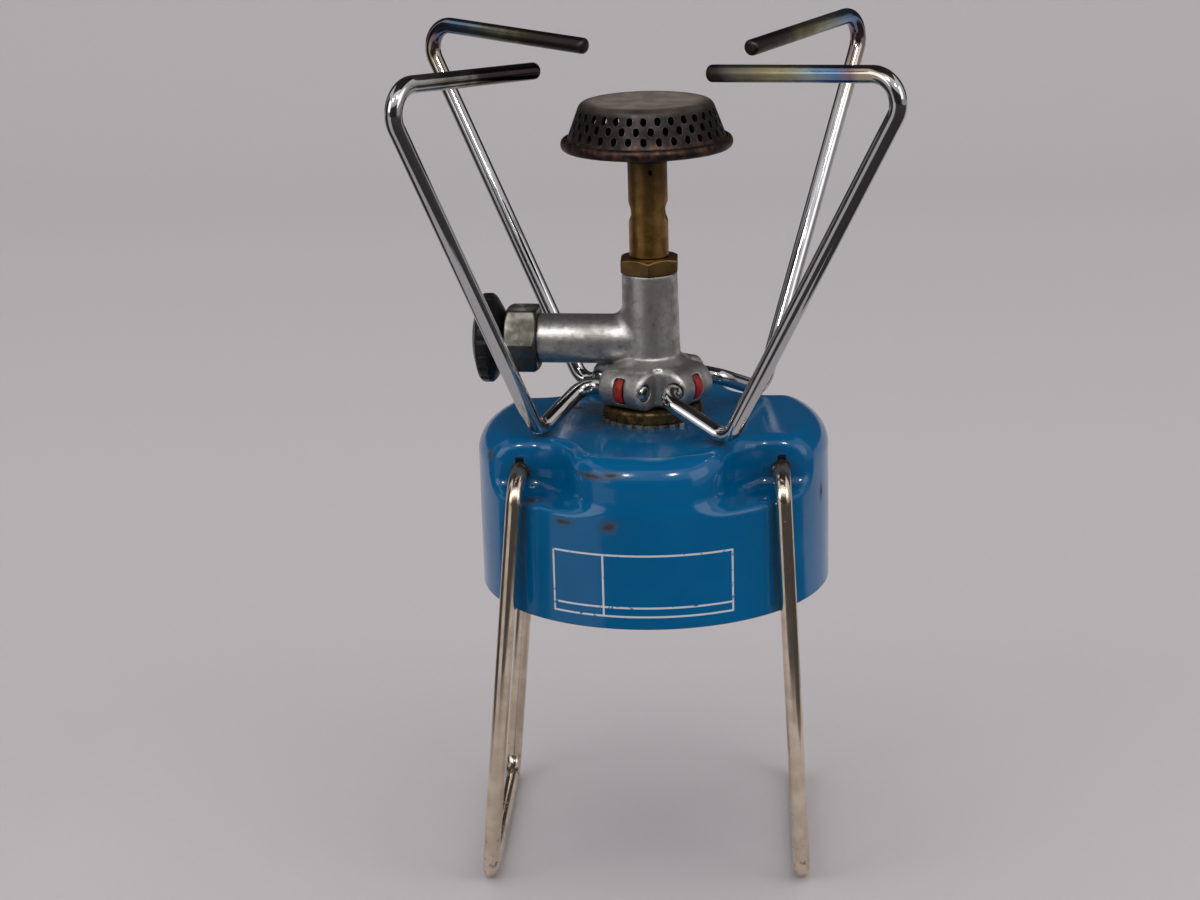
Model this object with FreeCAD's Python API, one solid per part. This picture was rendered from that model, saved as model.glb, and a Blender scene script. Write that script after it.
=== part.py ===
"""Portable cartridge stove: a pressed bell on two wire bails, with a screw-down valve and burner head.

Millimetres, +Z up.  The origin is on the burner axis, on the surface that the bails stand on.
-Y is the front.  Each piece is written to parts/ as one STEP file named after its node.
"""
import FreeCAD, Part
import math
import os

from FreeCAD import Vector

# Bell: a deep-drawn steel cup, open at the bottom, that slips over the gas cartridge
BELL_RADIUS = 46.0
BELL_WALL = 0.8
BELL_HEIGHT = 43.0
RIM_HEIGHT = 75.3
SHOULDER_RADIUS = 7.5
SKIRT_SWAGE = 0.6

# Pockets pressed into the bell's shoulder, one round each bail pivot
POCKET_FACE = 21.5
POCKET_DEPTH = 13.3
POCKET_CORNER = 5.0
POCKET_SLANT = 15.0
NOSE_RADIUS = 17.0
NOSE_OFFSET = 3.0
NOSE_STAND = 0.35
POCKET_FOOT_FILLET = 2.5

# Bails: bent wire legs, hooked through keyholes in the pockets
BAIL_WIRE = 4.3
PIVOT_OFFSET = 33.6
PIVOT_DROP = 8.3
BAIL_SPLAY_RIGHT = 2.3
BAIL_SPLAY_LEFT = 5.6
BAIL_TOP_BEND = 5.5
BAIL_FOOT_BEND = 6.0
LEG_GAP = 0.35
EAR_REACH = 3.3
EAR_WIDTH = 1.8
EAR_THICKNESS = 1.2
EAR_GAP = 0.4
BAIL_TAIL = 0.8
KEYHOLE_GAP = 0.2

# Threaded bush that carries the head, and what clamps it to the bell
BUSH_FLANGE_RADIUS = 13.1
BUSH_FLANGE_HEIGHT = 3.3
BUSH_NECK_RADIUS = 10.2
LOCK_WASHER_RADIUS = 13.6
LOCK_WASHER_THICKNESS = 0.8
LOCK_WASHER_TEETH = 30
LOCK_WASHER_TOOTH = 0.9
LOCKNUT_FLATS = 24.0
LOCKNUT_HEIGHT = 3.2
HEAD_GAP = 0.3

# Valve body: one die casting with a base of four hinge barrels, an upright tube and a side arm
SPIGOT_RADIUS = 8.0
SPIGOT_LENGTH = 9.4
BARREL_LENGTH = 13.8
BARREL_REACH = 15.2
BARREL_HEIGHT = 10.5
HINGE_REACH = 12.3
HINGE_AZIMUTH = -34.0
CASTING_HEIGHT = 34.3
TUBE_ROOT_RADIUS = 7.9
TUBE_TOP_RADIUS = 7.2
SIDE_RISE = 16.3
SIDE_RADIUS = 6.5
SIDE_LENGTH = 29.5
SIDE_AZIMUTH = 175.0
JUNCTION_FILLET = 3.0
NOTCH_FILLET = 1.5
BARREL_BEVEL = 0.9
FOOT_FLARE = 2.3
GAS_PASSAGE_RADIUS = 1.5
FEED_RADIUS = 1.0

# Friction rings that stiffen the hinges of the pan-support arms
RING_RADIUS = 3.5
RING_WIDTH = 2.8
RING_GAP = 0.15

# Pan-support arms: one bent wire each
ARM_WIRE = 4.3
ARM_SLOPE = 22.6
ARM_EXIT_STUB = 0.75
ARM_EXIT_BEND = 5.0
ARM_LOWER_BEND = 5.0
ARM_TOP_BEND = 6.5
ARM_REACH = 86.7
ARM_GAP = 0.35
FINGER_LENGTH = 58.1
FINGER_DROP = 3.6
PAN_RISE = 13.9
TIP_ROUND = 1.0

# Piercing needle and cartridge seal below the spigot
SEAL_NOSE_RADIUS = 3.0
SEAL_RADIUS = 7.5
SEAL_THICKNESS = 2.6
SEAL_GAP = 0.1
NEEDLE_RADIUS = 1.3
NEEDLE_HEAD_RADIUS = 4.4
NEEDLE_HEAD_HEIGHT = 1.2
NEEDLE_LENGTH = 4.5
NEEDLE_SHANK = 6.0
NEEDLE_BORE = 0.5

# Gland on the side arm
GLAND_SPIGOT_RADIUS = 5.5
GLAND_SPIGOT_LENGTH = 5.2
GLAND_NUT_FLATS = 16.3
GLAND_NUT_LENGTH = 8.2
PACKING_RADIUS = 4.0
PACKING_LENGTH = 3.2

# Valve needle, spindle and handwheel
SPINDLE_RADIUS = 2.0
VALVE_NEEDLE_LENGTH = 6.0
VALVE_SEAT_OFFSET = 4.0
VALVE_SEAT_GAP = 0.1
WHEEL_RADIUS = 11.7
WHEEL_RIM = 3.8
WHEEL_HUB_RADIUS = 6.2
WHEEL_HUB_LENGTH = 2.9
WHEEL_CROWN = 1.5
WHEEL_GAP = 0.4
WHEEL_FLUTES = 18
FLUTE_RADIUS = 1.1
FLUTE_DEPTH = 0.45
WHEEL_SCREW_RADIUS = 2.6
WHEEL_SCREW_HEIGHT = 1.1
WHEEL_SCREW_SHANK = 1.0
WHEEL_SCREW_LENGTH = 5.0

# Jet holder, jet and filter
JET_HEX_FLATS = 14.6
JET_HEX_HEIGHT = 4.1
JET_SPIGOT_RADIUS = 5.0
JET_SPIGOT_LENGTH = 6.8
TUBE_SEAT_LENGTH = 4.6
JET_BORE_RADIUS = 1.5
JET_THREAD_RADIUS = 2.4
JET_THREAD_LENGTH = 3.4
JET_HEAD_RADIUS = 3.2
JET_HEAD_HEIGHT = 2.4
JET_TIP_RADIUS = 1.6
JET_TIP_HEIGHT = 1.4
JET_ORIFICE_RADIUS = 0.3
FILTER_LENGTH = 4.0

# Burner: brass mixing tube, pressed dish and perforated cap
BURNER_TUBE_RADIUS = 5.1
BURNER_TUBE_WALL = 0.8
BURNER_TUBE_LENGTH = 28.4
AIR_HOLE_RADIUS = 2.7
AIR_HOLE_RISE = 11.8
DISH_WALL = 0.8
DISH_SOCKET_LENGTH = 3.4
DISH_RISE = 1.4
DISH_RIM_RADIUS = 22.1
DISH_BEAD = 2.4
CAP_WALL = 0.7
CAP_FLANGE_RADIUS = 21.0
CAP_SKIRT_RADIUS = 20.6
CAP_TOP_RADIUS = 16.9
CAP_HEIGHT = 10.6
CAP_SHOULDER = 1.8
CAP_DISHING = 0.5
PORT_WIDTH = 1.5
PORT_HEIGHT = 2.0
PORT_ROWS = 3
PORT_COLUMNS = 32
PORT_FIRST_RISE = 3.0
PORT_PITCH = 2.4

# Fits
RUNNING_FIT = 0.08
SEAT_FIT = 0.03

# Heights that follow from the sizes above
BELL_TOP = RIM_HEIGHT + BELL_HEIGHT
PIVOT_HEIGHT = BELL_TOP - PIVOT_DROP
BUSH_SEAT = BELL_TOP + LOCK_WASHER_THICKNESS
HEAD_BASE = BUSH_SEAT + BUSH_FLANGE_HEIGHT + HEAD_GAP
HINGE_HEIGHT = HEAD_BASE + BARREL_HEIGHT / 2
SIDE_HEIGHT = HEAD_BASE + SIDE_RISE
CASTING_TOP = HEAD_BASE + CASTING_HEIGHT
SPIGOT_END = HEAD_BASE - SPIGOT_LENGTH
JET_HEX_TOP = CASTING_TOP + JET_HEX_HEIGHT
TUBE_TOP = JET_HEX_TOP + BURNER_TUBE_LENGTH
DISH_TOP = TUBE_TOP + DISH_RISE
CAP_TOP = DISH_TOP + CAP_HEIGHT

UP = Vector(0, 0, 1)
ORIGIN = Vector(0, 0, 0)
CLOSE = 0.01


def cylinder(radius, height, base, axis=UP):
    """A solid cylinder standing on base and growing along axis."""
    return Part.makeCylinder(radius, height, base, axis)


def revolved(outline):
    """Turns a closed outline of (radius, height) points round the Z axis."""
    points = [Vector(radius, 0, height) for radius, height in outline]
    wire = Part.makePolygon(points + points[:1])
    return Part.Face(wire).revolve(ORIGIN, UP, 360)


def hexagon(flats, height, base_height, turn=0.0):
    """An upright hexagonal prism of the given width across flats."""
    corner = flats / math.sqrt(3)
    points = []
    for side in range(7):
        angle = math.radians(60 * side + turn)
        points.append(Vector(corner * math.cos(angle), corner * math.sin(angle), base_height))
    return Part.Face(Part.makePolygon(points)).extrude(Vector(0, 0, height))


def chamfered_hexagon(flats, height, base_height, turn=0.0):
    """A hexagonal prism whose corners are turned off at both ends, like a nut."""
    corner = flats / math.sqrt(3)
    cut = (corner - flats / 2) * 0.6
    top = base_height + height
    turned = revolved([
        (0, base_height),
        (flats / 2, base_height),
        (corner, base_height + cut),
        (corner, top - cut),
        (flats / 2, top),
        (0, top),
    ])
    return hexagon(flats, height, base_height, turn).common(turned)


def bent_wire(points, bends, diameter):
    """A round wire made of straight runs joined by tangent bends of the given radii."""
    lengths = []
    start = points[0]
    for index, radius in enumerate(bends):
        corner = points[index + 1]
        into = (corner - points[index]).normalize()
        out = (points[index + 2] - corner).normalize()
        turn = into.getAngle(out)
        setback = radius * math.tan(turn / 2)
        first = corner - into * setback
        inward = (out - into * into.dot(out)).normalize()
        section = Part.Face(Part.Wire(Part.makeCircle(diameter / 2, first, into)))
        lengths.append(cylinder(diameter / 2, (first - start).Length, start, into))
        lengths.append(section.revolve(first + inward * radius, into.cross(out), math.degrees(turn)))
        start = corner + out * setback
    last = points[-1] - start
    lengths.append(cylinder(diameter / 2, last.Length, start, last))
    return lengths[0].fuse(lengths[1:]).removeSplitter()


def to_side_arm(shape):
    """Lays a piece that was built along +Z from the origin onto the side arm's axis."""
    placed = shape.copy()
    placed.rotate(ORIGIN, Vector(0, 1, 0), 90)
    placed.rotate(ORIGIN, UP, SIDE_AZIMUTH)
    placed.translate(Vector(0, 0, SIDE_HEIGHT))
    return placed


def to_hinge(shape, index):
    """Turns a piece built on the +X arm to its place in the ring of four arms."""
    placed = shape.copy()
    placed.rotate(ORIGIN, UP, HINGE_AZIMUTH + 90 * index)
    return placed


def around(centre, radius, degrees):
    """The point at an angle on a circle in plan."""
    angle = math.radians(degrees)
    return Vector(centre.x + radius * math.cos(angle), centre.y + radius * math.sin(angle), centre.z)


def pocket_block(inset):
    """The block that the front right pocket takes out of the bell, for a skin inset by a wall."""
    floor = BELL_TOP - POCKET_DEPTH - inset
    nose = NOSE_RADIUS - inset
    corner = POCKET_CORNER + inset
    face = -(POCKET_FACE - inset)
    reach = BELL_RADIUS + NOSE_STAND - NOSE_RADIUS
    nose_centre = Vector(NOSE_OFFSET, -math.sqrt(reach ** 2 - NOSE_OFFSET ** 2), floor)
    first_angle = math.degrees(math.atan2(nose_centre.y, nose_centre.x))
    last_angle = -POCKET_SLANT
    nose_start = around(nose_centre, nose, first_angle)
    nose_end = around(nose_centre, nose, last_angle)
    wall = Vector(math.sin(math.radians(POCKET_SLANT)), math.cos(math.radians(POCKET_SLANT)), 0)
    corner_shift = around(ORIGIN, corner, last_angle)
    run = (face - corner - nose_end.y - corner_shift.y) / wall.y
    wall_end = nose_end + wall * run
    corner_centre = wall_end + corner_shift
    face_start = Vector(corner_centre.x, face, floor)
    far = 2 * BELL_RADIUS
    outline = [
        Part.Arc(nose_start, around(nose_centre, nose, (first_angle + last_angle) / 2), nose_end).toShape(),
        Part.makeLine(nose_end, wall_end),
        Part.Arc(wall_end, around(corner_centre, corner, 135 - POCKET_SLANT / 2), face_start).toShape(),
        Part.makeLine(face_start, Vector(far, face, floor)),
        Part.makeLine(Vector(far, face, floor), Vector(far, -far, floor)),
        Part.makeLine(Vector(far, -far, floor), Vector(nose_start.x, -far, floor)),
        Part.makeLine(Vector(nose_start.x, -far, floor), nose_start),
    ]
    block = Part.Face(Part.Wire(outline)).extrude(Vector(0, 0, 2 * POCKET_DEPTH))
    wall_centres = [edge.CenterOfMass for edge in outline[:4]]
    foot = []
    for edge in block.Edges:
        if any(edge.CenterOfMass.isEqual(spot, CLOSE) for spot in wall_centres):
            foot.append(edge)
    return block.makeFillet(POCKET_FOOT_FILLET + inset, foot)


def bell_skin(inset):
    """The bell as a solid plug, drawn in by inset: the outside at 0 and the inside at one wall."""
    radius = BELL_RADIUS - inset
    shoulder = SHOULDER_RADIUS - inset
    top = BELL_TOP - inset
    plug = cylinder(radius, top - RIM_HEIGHT, Vector(0, 0, RIM_HEIGHT))
    crown = [edge for edge in plug.Edges if edge.BoundBox.ZMin > top - CLOSE]
    plug = plug.makeFillet(shoulder, crown)
    block = pocket_block(inset)
    mirrored = block.mirror(ORIGIN, Vector(1, 0, 0))
    for pocket in (block, mirrored):
        plug = plug.cut(pocket)
        plug = plug.cut(pocket.mirror(ORIGIN, Vector(0, 1, 0)))
    return plug


def keyhole():
    """The cutter for the bail's round hole and the slot above it that lets the wire's ear through."""
    centre = Vector(PIVOT_OFFSET, 0, PIVOT_HEIGHT)
    depth = 3 * BELL_WALL
    start = Vector(0, -POCKET_FACE - BELL_WALL, 0)
    hole = cylinder(BAIL_WIRE / 2 + RUNNING_FIT, depth, centre + start, Vector(0, 1, 0))
    width = EAR_WIDTH + 2 * KEYHOLE_GAP
    slot = Part.makeBox(width, depth, EAR_REACH + KEYHOLE_GAP, centre + start - Vector(width / 2, 0, 0))
    return hole.fuse(slot)


def bell_inside():
    """The room inside the bell: a skirt swaged out to take the cartridge, and the narrower draw above it."""
    inside = BELL_RADIUS - BELL_WALL
    drawn_radius = inside - SKIRT_SWAGE
    skirt_top = BELL_TOP - POCKET_DEPTH - 3 * BELL_WALL
    drawn = cylinder(drawn_radius, BELL_HEIGHT, Vector(0, 0, RIM_HEIGHT))
    skirt = revolved([
        (0, RIM_HEIGHT),
        (inside, RIM_HEIGHT),
        (inside, skirt_top),
        (drawn_radius, skirt_top + SKIRT_SWAGE),
        (0, skirt_top + SKIRT_SWAGE),
    ])
    return bell_skin(BELL_WALL).common(drawn).fuse(skirt)


def make_bell():
    """The bell's outside less its inside, with the hole for the bush and a keyhole in each pocket."""
    shell = bell_skin(0.0).cut(bell_inside()).removeSplitter()
    crown_hole = cylinder(BUSH_NECK_RADIUS + SEAT_FIT, 4 * BELL_WALL, Vector(0, 0, BELL_TOP - 2 * BELL_WALL))
    shell = shell.cut(crown_hole)
    front_right = keyhole()
    front_left = front_right.mirror(ORIGIN, Vector(1, 0, 0))
    for cutter in (front_right, front_left):
        shell = shell.cut(cutter)
        shell = shell.cut(cutter.mirror(ORIGIN, Vector(0, 1, 0)))
    return shell


def make_bail(splay):
    """A right-hand bail, bent upright and then swung outward by its splay about the pivot."""
    wire = BAIL_WIRE / 2
    leg_plane = math.sqrt((BELL_RADIUS + wire + LEG_GAP) ** 2 - PIVOT_OFFSET ** 2)
    leg_length = (PIVOT_HEIGHT - wire) / math.cos(math.radians(splay))
    inner_face = POCKET_FACE - BELL_WALL
    tail = inner_face - EAR_GAP - EAR_THICKNESS - BAIL_TAIL
    foot = PIVOT_HEIGHT - leg_length
    route = [
        Vector(PIVOT_OFFSET, -tail, PIVOT_HEIGHT),
        Vector(PIVOT_OFFSET, -leg_plane, PIVOT_HEIGHT),
        Vector(PIVOT_OFFSET, -leg_plane, foot),
        Vector(PIVOT_OFFSET, leg_plane, foot),
        Vector(PIVOT_OFFSET, leg_plane, PIVOT_HEIGHT),
        Vector(PIVOT_OFFSET, tail, PIVOT_HEIGHT),
    ]
    bends = [BAIL_TOP_BEND, BAIL_FOOT_BEND, BAIL_FOOT_BEND, BAIL_TOP_BEND]
    bail = bent_wire(route, bends, BAIL_WIRE)
    low = PIVOT_HEIGHT - EAR_WIDTH / 2
    for side in (-1, 1):
        for near in (inner_face - EAR_GAP - EAR_THICKNESS, POCKET_FACE + EAR_GAP):
            start = near if side > 0 else -near - EAR_THICKNESS
            corner = Vector(PIVOT_OFFSET - EAR_REACH, start, low)
            bail = bail.fuse(Part.makeBox(EAR_REACH, EAR_THICKNESS, EAR_WIDTH, corner))
    bail.rotate(Vector(PIVOT_OFFSET, 0, PIVOT_HEIGHT), Vector(0, 1, 0), -splay)
    return bail.removeSplitter()


def make_lock_washer():
    """A serrated washer under the bush; its teeth show round the foot of the flange."""
    ring = cylinder(LOCK_WASHER_RADIUS, LOCK_WASHER_THICKNESS, Vector(0, 0, BELL_TOP))
    ring = ring.cut(cylinder(BUSH_NECK_RADIUS + SEAT_FIT, LOCK_WASHER_THICKNESS, Vector(0, 0, BELL_TOP)))
    pitch = 360.0 / LOCK_WASHER_TEETH
    width = math.pi * LOCK_WASHER_RADIUS / LOCK_WASHER_TEETH
    notch = Part.makeBox(
        2 * LOCK_WASHER_TOOTH, width, LOCK_WASHER_THICKNESS,
        Vector(LOCK_WASHER_RADIUS - LOCK_WASHER_TOOTH, -width / 2, BELL_TOP),
    )
    notches = []
    for tooth in range(LOCK_WASHER_TEETH):
        copy = notch.copy()
        copy.rotate(ORIGIN, UP, pitch * tooth)
        notches.append(copy)
    return ring.cut(Part.makeCompound(notches))


def make_threaded_bush():
    """Brass bush: a flange above the bell, a neck through it and a thread for the locknut below."""
    bore = SPIGOT_RADIUS + RUNNING_FIT
    top = BUSH_SEAT + BUSH_FLANGE_HEIGHT
    foot = BELL_TOP - BELL_WALL - LOCKNUT_HEIGHT
    bevel = BUSH_FLANGE_HEIGHT / 6
    return revolved([
        (bore, foot),
        (BUSH_NECK_RADIUS, foot),
        (BUSH_NECK_RADIUS, BUSH_SEAT),
        (BUSH_FLANGE_RADIUS, BUSH_SEAT),
        (BUSH_FLANGE_RADIUS, top - bevel),
        (BUSH_FLANGE_RADIUS - bevel, top),
        (bore, top),
    ])


def make_bush_locknut():
    foot = BELL_TOP - BELL_WALL - LOCKNUT_HEIGHT
    nut = chamfered_hexagon(LOCKNUT_FLATS, LOCKNUT_HEIGHT, foot)
    return nut.cut(cylinder(BUSH_NECK_RADIUS + SEAT_FIT, LOCKNUT_HEIGHT, Vector(0, 0, foot)))


def edges_between(shape, kinds):
    """The edges of a shape where two faces of the given kinds of surface meet."""
    found = []
    for edge in shape.Edges:
        faces = shape.ancestorsOfType(edge, Part.Face)
        if sorted(type(face.Surface).__name__ for face in faces) == kinds:
            found.append(edge)
    return found


def barrel_bar():
    """One bar of the cross that carries two opposite hinge barrels, with rounded noses."""
    half = BARREL_LENGTH / 2
    nose = BARREL_HEIGHT / 2
    flat = BARREL_REACH - nose
    top = HEAD_BASE + BARREL_HEIGHT
    low_left = Vector(-flat, -half, HEAD_BASE)
    low_right = Vector(flat, -half, HEAD_BASE)
    high_left = Vector(-flat, -half, top)
    high_right = Vector(flat, -half, top)
    outline = [
        Part.makeLine(low_left, low_right),
        Part.Arc(low_right, Vector(BARREL_REACH, -half, HINGE_HEIGHT), high_right).toShape(),
        Part.makeLine(high_right, high_left),
        Part.Arc(high_left, Vector(-BARREL_REACH, -half, HINGE_HEIGHT), low_left).toShape(),
    ]
    return Part.Face(Part.Wire(outline)).extrude(Vector(0, BARREL_LENGTH, 0))


def hinge_cross():
    """Both bars, with the notches between them rounded and their rims bevelled."""
    bar = barrel_bar()
    cross = to_hinge(bar, 0).fuse(to_hinge(bar, 1)).removeSplitter()
    notches = [edge for edge in edges_between(cross, ["Plane", "Plane"]) if edge.BoundBox.ZLength > CLOSE]
    cross = cross.makeFillet(NOTCH_FILLET, notches)
    rims = [edge for edge in edges_between(cross, ["Plane", "Plane"]) if edge.BoundBox.ZLength < CLOSE]
    for edge in edges_between(cross, ["Cylinder", "Plane"]):
        if isinstance(edge.Curve, Part.Circle):
            rims.append(edge)
    return cross.makeChamfer(BARREL_BEVEL, rims)


def valve_tee():
    """The upright tube and the side arm, blended where they meet, with a flared foot."""
    upright = Part.makeCone(TUBE_ROOT_RADIUS, TUBE_TOP_RADIUS, CASTING_HEIGHT, Vector(0, 0, HEAD_BASE))
    tee = upright.fuse(to_side_arm(cylinder(SIDE_RADIUS, SIDE_LENGTH, ORIGIN))).removeSplitter()
    tee = tee.makeFillet(JUNCTION_FILLET, edges_between(tee, ["Cone", "Cylinder"]))
    foot = HEAD_BASE + BARREL_HEIGHT
    flare = Part.makeCone(TUBE_ROOT_RADIUS + FOOT_FLARE, TUBE_TOP_RADIUS, FOOT_FLARE, Vector(0, 0, foot))
    return tee.fuse(flare)


def hinge_bore(radius, length):
    """A cylinder along the hinge axis of the +X arm, centred on the barrel."""
    return cylinder(radius, length, Vector(HINGE_REACH, -length / 2, HINGE_HEIGHT), Vector(0, 1, 0))


def make_valve_body():
    """The die casting, with its spigot, barrels, upright tube, side arm and drilled passages."""
    gland = to_side_arm(cylinder(GLAND_SPIGOT_RADIUS, SIDE_LENGTH + GLAND_SPIGOT_LENGTH, ORIGIN))
    spigot = cylinder(SPIGOT_RADIUS, SPIGOT_LENGTH, Vector(0, 0, SPIGOT_END))
    nose_end = SPIGOT_END - SEAL_THICKNESS - 2 * SEAL_GAP
    nose = cylinder(SEAL_NOSE_RADIUS, SPIGOT_END - nose_end, Vector(0, 0, nose_end))
    body = hinge_cross().fuse([valve_tee(), gland, spigot, nose]).removeSplitter()
    for index in range(4):
        body = body.cut(to_hinge(hinge_bore(ARM_WIRE / 2 + RUNNING_FIT, 2 * BARREL_LENGTH), index))
        body = body.cut(to_hinge(hinge_bore(RING_RADIUS + RING_GAP, RING_WIDTH + 2 * RING_GAP), index))
    socket_foot = Vector(0, 0, CASTING_TOP - JET_SPIGOT_LENGTH)
    socket = cylinder(JET_SPIGOT_RADIUS + SEAT_FIT, JET_SPIGOT_LENGTH, socket_foot)
    riser = cylinder(GAS_PASSAGE_RADIUS, CASTING_TOP - SIDE_HEIGHT, Vector(0, 0, SIDE_HEIGHT))
    gland_end = SIDE_LENGTH + GLAND_SPIGOT_LENGTH
    stem = cylinder(SPINDLE_RADIUS + RUNNING_FIT, gland_end, Vector(0, 0, VALVE_SEAT_OFFSET))
    stuffing = cylinder(PACKING_RADIUS + SEAT_FIT, PACKING_LENGTH, Vector(0, 0, gland_end - PACKING_LENGTH))
    orifice = cylinder(GAS_PASSAGE_RADIUS, VALVE_SEAT_OFFSET, ORIGIN)
    shank = cylinder(NEEDLE_RADIUS + SEAT_FIT, NEEDLE_SHANK, Vector(0, 0, nose_end))
    feed_start = Vector(0, 0, nose_end + NEEDLE_SHANK)
    chamber = around(Vector(0, 0, SIDE_HEIGHT), VALVE_SEAT_OFFSET + SPINDLE_RADIUS, SIDE_AZIMUTH)
    feed = cylinder(FEED_RADIUS, (chamber - feed_start).Length, feed_start, chamber - feed_start)
    side_holes = [to_side_arm(hole) for hole in (orifice, stem, stuffing)]
    return body.cut([socket, riser, shank, feed] + side_holes)


def make_friction_rings():
    ring = hinge_bore(RING_RADIUS, RING_WIDTH).cut(hinge_bore(ARM_WIRE / 2 + RUNNING_FIT, RING_WIDTH))
    return Part.makeCompound([to_hinge(ring, index) for index in range(4)])


def make_arm():
    """The +X arm: hinge run, exit bend, sloping run, lower bend above the bell, leg, top bend and finger."""
    slope = math.radians(ARM_SLOPE)
    plane = -(BARREL_LENGTH / 2 + ARM_EXIT_STUB + ARM_EXIT_BEND)
    top_height = CAP_TOP + PAN_RISE
    lift = ARM_LOWER_BEND / math.cos(slope) - ARM_LOWER_BEND
    fall = HINGE_HEIGHT + lift - BELL_TOP - ARM_GAP - ARM_WIRE / 2
    bend_reach = HINGE_REACH + fall / math.tan(slope)
    bend_height = BELL_TOP + ARM_GAP + ARM_WIRE / 2 + ARM_LOWER_BEND
    rise = top_height - bend_height
    spread = ARM_REACH - bend_reach
    lean = math.atan2(rise, spread) + math.asin(ARM_LOWER_BEND / math.hypot(rise, spread))
    leg = Vector(math.cos(lean), 0, math.sin(lean))
    drop = Vector(math.cos(slope), 0, -math.sin(slope))
    hinge = Vector(HINGE_REACH, plane, HINGE_HEIGHT)
    top = Vector(ARM_REACH, plane, top_height)
    gap = top - hinge
    run = (gap.x * leg.z - gap.z * leg.x) / (drop.x * leg.z - drop.z * leg.x)
    route = [
        Vector(HINGE_REACH, BARREL_LENGTH / 2, HINGE_HEIGHT),
        hinge,
        hinge + drop * run,
        top,
        Vector(ARM_REACH - FINGER_LENGTH, plane, top_height - FINGER_DROP),
    ]
    arm = bent_wire(route, [ARM_EXIT_BEND, ARM_LOWER_BEND, ARM_TOP_BEND], ARM_WIRE)
    tip = min(arm.Edges, key=lambda edge: edge.CenterOfMass.distanceToPoint(route[-1]))
    return arm.makeFillet(TIP_ROUND, [tip])


def make_piercing_needle():
    """Hollow steel needle pressed into the spigot; its head keeps the seal on the spigot's nose."""
    seat = SPIGOT_END - SEAL_THICKNESS - 2 * SEAL_GAP
    head_foot = seat - NEEDLE_HEAD_HEIGHT
    return revolved([
        (NEEDLE_BORE, head_foot - NEEDLE_LENGTH),
        (NEEDLE_RADIUS, head_foot - NEEDLE_LENGTH / 2),
        (NEEDLE_RADIUS, head_foot),
        (NEEDLE_HEAD_RADIUS, head_foot),
        (NEEDLE_HEAD_RADIUS, seat),
        (NEEDLE_RADIUS, seat),
        (NEEDLE_RADIUS, seat + NEEDLE_SHANK),
        (NEEDLE_BORE, seat + NEEDLE_SHANK),
    ])


def make_seal_washer():
    foot = SPIGOT_END - SEAL_THICKNESS - SEAL_GAP
    washer = cylinder(SEAL_RADIUS, SEAL_THICKNESS, Vector(0, 0, foot))
    return washer.cut(cylinder(SEAL_NOSE_RADIUS + RUNNING_FIT, SEAL_THICKNESS, Vector(0, 0, foot)))


def make_gland_nut():
    """Hexagonal cap nut that squeezes the packing round the spindle."""
    nut = chamfered_hexagon(GLAND_NUT_FLATS, GLAND_NUT_LENGTH, SIDE_LENGTH, 30.0)
    nut = nut.cut(cylinder(GLAND_SPIGOT_RADIUS + SEAT_FIT, GLAND_SPIGOT_LENGTH, Vector(0, 0, SIDE_LENGTH)))
    nut = nut.cut(cylinder(SPINDLE_RADIUS + RUNNING_FIT, GLAND_NUT_LENGTH, Vector(0, 0, SIDE_LENGTH)))
    return to_side_arm(nut)


def make_packing_ring():
    foot = Vector(0, 0, SIDE_LENGTH + GLAND_SPIGOT_LENGTH - PACKING_LENGTH)
    ring = cylinder(PACKING_RADIUS, PACKING_LENGTH, foot)
    return to_side_arm(ring.cut(cylinder(SPINDLE_RADIUS + RUNNING_FIT, PACKING_LENGTH, foot)))


def make_valve_needle():
    """The cone that closes the gas passage; the spindle turns behind it and pushes it along."""
    tip = VALVE_SEAT_OFFSET - GAS_PASSAGE_RADIUS + VALVE_SEAT_GAP
    back = VALVE_SEAT_OFFSET + VALVE_NEEDLE_LENGTH
    shoulder = tip + SPINDLE_RADIUS
    return to_side_arm(revolved([(0, tip), (SPINDLE_RADIUS, shoulder), (SPINDLE_RADIUS, back), (0, back)]))


def wheel_foot():
    return SIDE_LENGTH + GLAND_NUT_LENGTH + WHEEL_GAP


def wheel_top():
    return wheel_foot() + WHEEL_HUB_LENGTH + WHEEL_RIM + WHEEL_CROWN


def make_valve_spindle():
    start = VALVE_SEAT_OFFSET + VALVE_NEEDLE_LENGTH + RUNNING_FIT
    end = wheel_top() - WHEEL_CROWN
    rod = cylinder(SPINDLE_RADIUS, end - start, Vector(0, 0, start))
    tapped_foot = Vector(0, 0, end - WHEEL_SCREW_LENGTH)
    tapped = cylinder(WHEEL_SCREW_SHANK + SEAT_FIT, WHEEL_SCREW_LENGTH, tapped_foot)
    return to_side_arm(rod.cut(tapped))


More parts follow.
